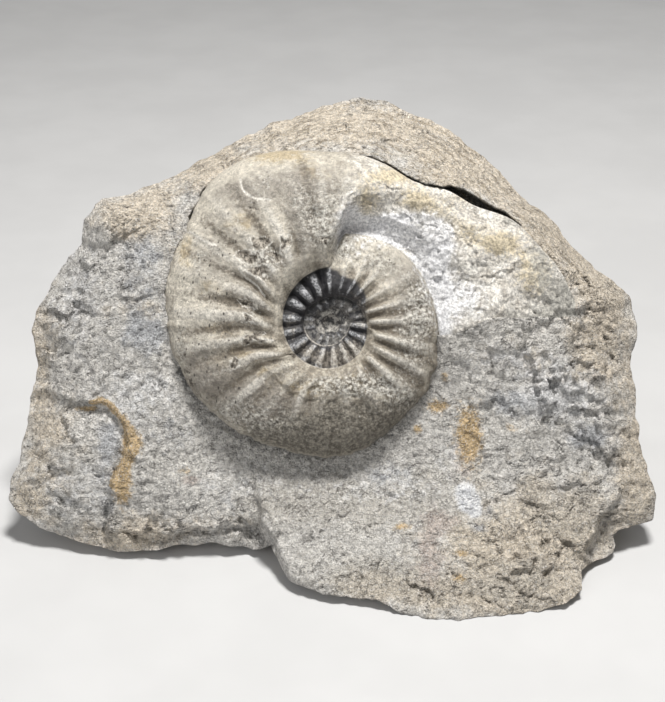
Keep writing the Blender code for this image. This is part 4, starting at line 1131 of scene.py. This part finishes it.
class Shading:
    """The nodes of one material, added and joined by short calls."""

    def __init__(self, name):
        self.material = bpy.data.materials.new(name)
        self.material.use_nodes = True
        self.tree = self.material.node_tree
        self.shader = self.tree.nodes["Principled BSDF"]
        self.place = self.node("ShaderNodeTexCoord").outputs["Object"]

    def node(self, kind, **settings):
        made = self.tree.nodes.new(kind)
        for setting, value in settings.items():
            setattr(made, setting, value)
        return made

    def feed(self, socket, value):
        """Links another node's output to the socket, or sets the socket to a number or colour."""
        if isinstance(value, bpy.types.NodeSocket):
            self.tree.links.new(value, socket)
        elif isinstance(value, tuple):
            socket.default_value = (*value, 1.0)
        else:
            socket.default_value = value

    def finish(self, colour, roughness, specular, normal=None):
        """The material with its colour, roughness, reflection and relief set."""
        self.feed(self.shader.inputs["Base Color"], colour)
        self.feed(self.shader.inputs["Roughness"], roughness)
        self.feed(self.shader.inputs["Specular IOR Level"], specular)
        if normal is not None:
            self.feed(self.shader.inputs["Normal"], normal)
        return self.material

    def mark(self, name):
        return self.node("ShaderNodeAttribute", attribute_name=name).outputs["Fac"]

    def scaled(self, stretch):
        """Object coordinates, each multiplied by its own number."""
        mapping = self.node("ShaderNodeMapping")
        mapping.inputs["Scale"].default_value = stretch
        self.feed(mapping.inputs["Vector"], self.place)
        return mapping.outputs["Vector"]

    def noise(self, place, scale, detail, rough):
        made = self.node("ShaderNodeTexNoise")
        for name, value in (("Scale", scale), ("Detail", detail), ("Roughness", rough), ("Vector", place)):
            self.feed(made.inputs[name], value)
        return made.outputs["Fac"]

    def grain(self, length_mm, detail=3.0, rough=0.6):
        """Noise from 0 to 1 with features of that length."""
        return self.noise(self.scaled((1.0, 1.0, 1.0)), 1000.0 / length_mm, detail, rough)

    def spread(self, low, high, length_mm, detail=3.0, rough=0.6):
        """Grain of that length with its range from low to high eased onto 0 to 1."""
        return self.span(self.grain(length_mm, detail, rough), low, high)

    def banding(self, run, length_mm, detail=3.0, rough=0.6):
        """Noise from 0 to 1 laid along the marks: that run one way, that length the other."""
        place = self.node("ShaderNodeCombineXYZ")
        self.feed(place.inputs["X"], self.times(self.mark("along"), 1.0 / run))
        self.feed(place.inputs["Y"], self.times(self.mark("across"), 1.0 / length_mm))
        return self.noise(place.outputs["Vector"], 1.0, detail, rough)

    def specks(self, length_mm, stretch=(1.0, 1.0, 1.0)):
        """Distance to scattered points, from 0 at a point."""
        made = self.node("ShaderNodeTexVoronoi")
        self.feed(made.inputs["Scale"], 1000.0 / length_mm)
        self.feed(made.inputs["Vector"], self.scaled(stretch))
        return made.outputs["Distance"]

    def veins(self, length_mm, width):
        """Thin wandering lines, from 0 beside them to 1 on them."""
        beside = self.maths("ABSOLUTE", self.maths("SUBTRACT", self.grain(length_mm), 0.5), 0.0)
        return self.span(beside, width, 0.0)

    def span(self, value, low, high, out_low=0.0, out_high=1.0):
        """The value's range from low to high, eased onto out_low to out_high."""
        made = self.node("ShaderNodeMapRange", interpolation_type="SMOOTHSTEP")
        for name, number in (("Value", value), ("From Min", low), ("From Max", high),
                             ("To Min", out_low), ("To Max", out_high)):
            self.feed(made.inputs[name], number)
        return made.outputs["Result"]

    def maths(self, operation, first, second):
        made = self.node("ShaderNodeMath", operation=operation)
        self.feed(made.inputs[0], first)
        self.feed(made.inputs[1], second)
        return made.outputs["Value"]

    def times(self, first, second):
        return self.maths("MULTIPLY", first, second)

    def mix(self, share, first, second, blend="MIX"):
        """Two colours mixed by the share; a Mix node's colour sockets are known by their numbers."""
        made = self.node("ShaderNodeMix", data_type="RGBA", blend_type=blend)
        self.feed(made.inputs["Factor"], share)
        self.feed(made.inputs[6], first)
        self.feed(made.inputs[7], second)
        return made.outputs[2]

    def broken(self, name, length_mm, most):
        """A mark broken up by noise of that length, from 0 to most."""
        ragged = self.times(self.grain(length_mm, 4.0, 0.7), 1.5)
        return self.span(self.maths("ADD", self.mark(name), ragged), 0.92, 1.5, 0.0, most)

    def stain(self, colour, name, length_mm, most, tint):
        """The colour with a broken-up mark of another tint on it."""
        return self.mix(self.broken(name, length_mm, most), colour, tint)

    def relief(self, height, distance_mm, strength, below=None):
        """Normal of a bumpy surface, on top of the bumps below."""
        made = self.node("ShaderNodeBump")
        self.feed(made.inputs["Height"], height)
        self.feed(made.inputs["Distance"], distance_mm / 1000.0)
        self.feed(made.inputs["Strength"], strength)
        if below is not None:
            self.feed(made.inputs["Normal"], below)
        return made.outputs["Normal"]


def stone_material():
    """Grey to tan limestone with its stains, streaks, salt-and-pepper grain, painted shade in crevices,
    hollows and cracks, and painted light on some pale patches.
    """
    look = Shading("weathered_limestone")
    grit = look.spread(0.39, 0.61, 1.7, 8.0, 0.88)
    colour = look.mix(look.spread(0.35, 0.65, 26.0), (0.63, 0.61, 0.58), (0.71, 0.685, 0.645))
    blotch = look.spread(0.34, 0.66, 6.0, 5.0, 0.65)
    colour = look.mix(look.times(blotch, 0.5), colour, (0.77, 0.745, 0.705))
    for mark, length, most, tint in STONE_STAINS:
        colour = look.stain(colour, mark, length, most, tint)
    streak = look.times(look.span(look.banding(0.7, 1.1), 0.5, 0.62), look.mark("streaky"))
    colour = look.mix(look.times(streak, 0.6), colour, (0.36, 0.30, 0.22))
    # painted shade: thin crevices darkened in colour, with a matching dent in the relief below
    crevice = look.times(look.veins(4.0, 0.03), look.spread(0.45, 0.6, 7.0))
    colour = look.mix(look.times(crevice, 0.6), colour, (0.20, 0.185, 0.165))
    colour = look.mix(1.0, colour, look.mix(grit, (0.52, 0.515, 0.51), (1.26, 1.255, 1.24)), "MULTIPLY")
    salt = look.spread(0.54, 0.68, 0.55, 2.0, 0.6)
    colour = look.mix(look.times(salt, 0.45), colour, (0.93, 0.93, 0.93))
    oval = look.mix(look.spread(0.38, 0.60, 1.5, 5.0, 0.7), (0.62, 0.63, 0.66), (1.0, 1.0, 1.0))
    colour = look.mix(look.times(look.mark("oval"), 0.95), colour, oval)
    chips = look.relief(look.specks(1.9, (1.0, 1.0, 1.2)), 0.8, 0.9)
    coarse = look.relief(look.grain(2.1, 8.0, 0.8), 1.8, 1.0, chips)
    creased = look.relief(look.times(crevice, -1.0), 0.8, 1.0, coarse)
    return look.finish(colour, 0.9, 0.3, look.relief(look.specks(0.75), 0.45, 1.0, creased))


def coil_colour(look, crystal):
    """Dark inner turns: rib tops painted pale as painted highlight, grooves black as their own dark colour
    and painted shade, frosted in places, and a mottled core.
    """
    frost = look.broken("frost", 1.6, 1.0)
    # tops: painted highlight on the rib tops
    tops = look.mix(look.spread(0.4, 0.6, 0.9), (0.13, 0.135, 0.145), (0.42, 0.425, 0.44))
    tops = look.mix(frost, tops, look.mix(crystal, (0.34, 0.31, 0.27), (0.62, 0.59, 0.54)))
    frosted = look.mix(crystal, (0.06, 0.052, 0.045), (0.32, 0.29, 0.25))
    hollows = look.mix(frost, (0.035, 0.035, 0.04), frosted)
    # ribbed: the painted highlight on the rib tops laid over the dark hollows, which are their own colour and
    # painted shade
    ribbed = look.stain(hollows, "ridge", 1.4, 1.0, tops)
    mottle = look.spread(0.45, 0.57, 2.4, 6.0, 0.75)
    mottled = look.mix(mottle, (0.045, 0.045, 0.048), (0.44, 0.42, 0.38))
    coil = look.mix(look.mark("core"), ribbed, mottled)
    return look.mix(look.mark("nucleus"), coil, (0.44, 0.31, 0.15))


def filling_colour(look):
    """Pale stony filling of the living chamber."""
    colour = look.mix(look.spread(0.38, 0.62, 4.0, 6.0, 0.7), (0.52, 0.485, 0.43), (0.82, 0.79, 0.73))
    colour = look.stain(colour, "yellow", 1.8, 0.85, (0.58, 0.50, 0.35))
    colour = look.stain(colour, "bloom", 1.8, 0.85, (0.79, 0.795, 0.815))
    return look.stain(colour, "dull", 2.2, 0.85, (0.40, 0.39, 0.355))


def shell_colour(look, crystal):
    """Grey-brown shell with cream, yellow and stony patches, ridges lightened partly by painted highlight,
    grooves darkened partly by painted shade, and painted shadow under the next turn.
    """
    colour = look.mix(look.spread(0.36, 0.64, 8.0, 5.0, 0.6), (0.37, 0.33, 0.265), (0.66, 0.615, 0.52))
    band = look.span(look.banding(0.45, 9.0, 5.0, 0.7), 0.38, 0.62)
    colour = look.mix(look.times(band, 0.75), colour, (0.21, 0.18, 0.14))
    patch = look.spread(0.42, 0.60, 2.6, 6.0, 0.7)
    colour = look.mix(look.times(patch, 0.6), colour, (0.21, 0.185, 0.15))
    colour = look.stain(colour, "cream", 5.0, 0.65, (0.76, 0.71, 0.61))
    colour = look.stain(colour, "yellow", 2.2, 0.7, (0.43, 0.335, 0.185))
    colour = look.stain(colour, "stony", 1.8, 0.75, (0.20, 0.18, 0.155))
    worn = look.mix(crystal, (0.06, 0.052, 0.04), (0.245, 0.225, 0.185))
    colour = look.stain(colour, "worn", 5.0, 0.9, worn)
    # painted highlight on the rib crests and painted shade in the rib grooves, over their own paler and
    # browner tones
    colour = look.stain(colour, "ridge", 1.1, 0.65, (0.64, 0.61, 0.55))
    colour = look.stain(colour, "groove", 1.2, 0.85, (0.12, 0.098, 0.07))
    rugged = look.mix(crystal, (0.10, 0.085, 0.065), (0.70, 0.68, 0.62))
    colour = look.stain(colour, "rugged", 1.0, 0.8, rugged)
    colour = look.stain(colour, "edge", 0.8, 0.8, (0.74, 0.71, 0.65))
    suture = look.mix(crystal, (0.045, 0.034, 0.024), (0.42, 0.38, 0.32))
    colour = look.stain(colour, "lobe", 0.9, 0.95, suture)
    colour = look.stain(colour, "coil", 1.8, 0.97, coil_colour(look, crystal))
    # painted shadow: near black under the edge of the next turn, where the deep mark is set
    colour = look.mix(look.times(look.mark("deep"), 0.9), colour, (0.012, 0.012, 0.012))
    colour = look.stain(colour, "lip", 0.8, 0.8, (0.60, 0.56, 0.50))
    colour = look.stain(colour, "rim", 1.2, 0.5, (0.50, 0.46, 0.39))
    colour = look.stain(colour, "bloom", 1.8, 0.85, (0.80, 0.81, 0.83))
    dots = look.span(look.specks(2.3, (1.0, 1.0, 0.5)), 0.17, 0.10)
    small_dots = look.span(look.specks(1.3, (1.0, 1.0, 0.55)), 0.15, 0.08)
    dots = look.times(look.maths("MAXIMUM", dots, small_dots), look.broken("speck", 6.0, 1.0))
    return look.mix(look.times(dots, 0.9), colour, (0.045, 0.038, 0.032))


def shell_material():
    """The shell and, where it is gone, the filling, both with a fine fleck."""
    look = Shading("fossil_shell")
    fleck = look.spread(0.38, 0.62, 0.9, 5.0, 0.8)
    crystal = look.spread(0.42, 0.58, 1.3, 5.0, 0.8)
    filling = look.mark("filling")
    bare = look.span(look.maths("ADD", filling, look.times(look.grain(3.0), 0.8)), 0.65, 1.15)
    colour = look.mix(bare, shell_colour(look, crystal), filling_colour(look))
    soft = look.mix(fleck, (0.64, 0.64, 0.645), (1.24, 1.235, 1.225))
    hard = look.mix(fleck, (0.54, 0.54, 0.55), (1.24, 1.23, 1.21))
    colour = look.mix(1.0, colour, look.mix(filling, soft, hard), "MULTIPLY")
    bumps = look.relief(look.grain(2.4, 7.0, 0.7), 1.0, 1.0)
    fine = look.relief(look.grain(0.8, 4.0, 0.75), 0.3, 0.9, bumps)
    return look.finish(colour, look.span(filling, 0.2, 0.8, 0.46, 0.85), 0.45, fine)


def floor_material():
    look = Shading("pale_floor")
    colour = look.mix(look.spread(0.3, 0.7, 60.0), (0.50, 0.50, 0.50), (0.53, 0.53, 0.53))
    return look.finish(colour, 0.8, 0.5)


def build_floor():
    mesh = bpy.data.meshes.new("floor")
    corners = [(-1, -1), (1, -1), (1, 1), (-1, 1)]
    mesh.from_pydata([(FLOOR_HALF * x, FLOOR_HALF * y, FLOOR_LEVEL) for x, y in corners], [], [(0, 1, 2, 3)])
    floor = bpy.data.objects.new("floor", mesh)
    bpy.context.collection.objects.link(floor)
    floor.data.materials.append(floor_material())


def add_camera():
    """Camera half a metre in front of the fossil's face, square on to it."""
    data = bpy.data.cameras.new("camera")
    data.sensor_width = SENSOR
    data.lens = PIXELS_PER_MM * EYE_RANGE * SENSOR / IMAGE_LONG_SIDE
    camera = bpy.data.objects.new("camera", data)
    bpy.context.collection.objects.link(camera)
    eye = to_world(np.array(((*EYE_AIM, EYE_RANGE),)))[0]
    turned = Matrix.Rotation(math.radians(90.0) - LEAN, 4, "X")
    camera.matrix_world = Matrix.Translation(Vector(eye.tolist())) @ turned
    bpy.context.scene.camera = camera


def add_light(name, place, size, watts, colour):
    """Round lamp aimed at the fossil."""
    data = bpy.data.lights.new(name, "AREA")
    data.shape = "DISK"
    data.size = size
    data.energy = watts
    data.color = colour
    light = bpy.data.objects.new(name, data)
    bpy.context.collection.objects.link(light)
    light.location = place
    light.rotation_mode = "QUATERNION"
    light.rotation_quaternion = (AIM - Vector(place)).to_track_quat("-Z", "Y")


def light_scene():
    for lamp in LAMPS:
        add_light(*lamp)
    world = bpy.data.worlds.new("studio")
    world.use_nodes = True
    backdrop = world.node_tree.nodes["Background"]
    backdrop.inputs["Color"].default_value = WORLD_COLOUR
    backdrop.inputs["Strength"].default_value = WORLD_STRENGTH
    bpy.context.scene.world = world
    bpy.context.scene.view_settings.view_transform = "Standard"


def dress(piece, node, material):
    """Puts the piece in the place of a solid, with its material."""
    piece.data.materials.append(material)
    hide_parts(node)
    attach(piece, "root")


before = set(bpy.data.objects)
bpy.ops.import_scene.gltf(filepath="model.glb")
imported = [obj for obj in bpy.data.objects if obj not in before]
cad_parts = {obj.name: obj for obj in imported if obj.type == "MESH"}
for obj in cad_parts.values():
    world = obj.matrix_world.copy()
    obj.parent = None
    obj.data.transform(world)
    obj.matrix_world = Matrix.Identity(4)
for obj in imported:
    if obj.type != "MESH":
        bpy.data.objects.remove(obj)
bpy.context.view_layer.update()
add_camera()
shell, shell_edge = build_fossil()
drawn_edge = EYE_AIM + (shell_edge[:, :2] - EYE_AIM) / (1.0 - shell_edge[:, 2:] / EYE_RANGE)
stone = build_block(drawn_edge[::3])
dress(stone, "stone_matrix", stone_material())
dress(shell, "ammonite", shell_material())
build_floor()
light_scene()
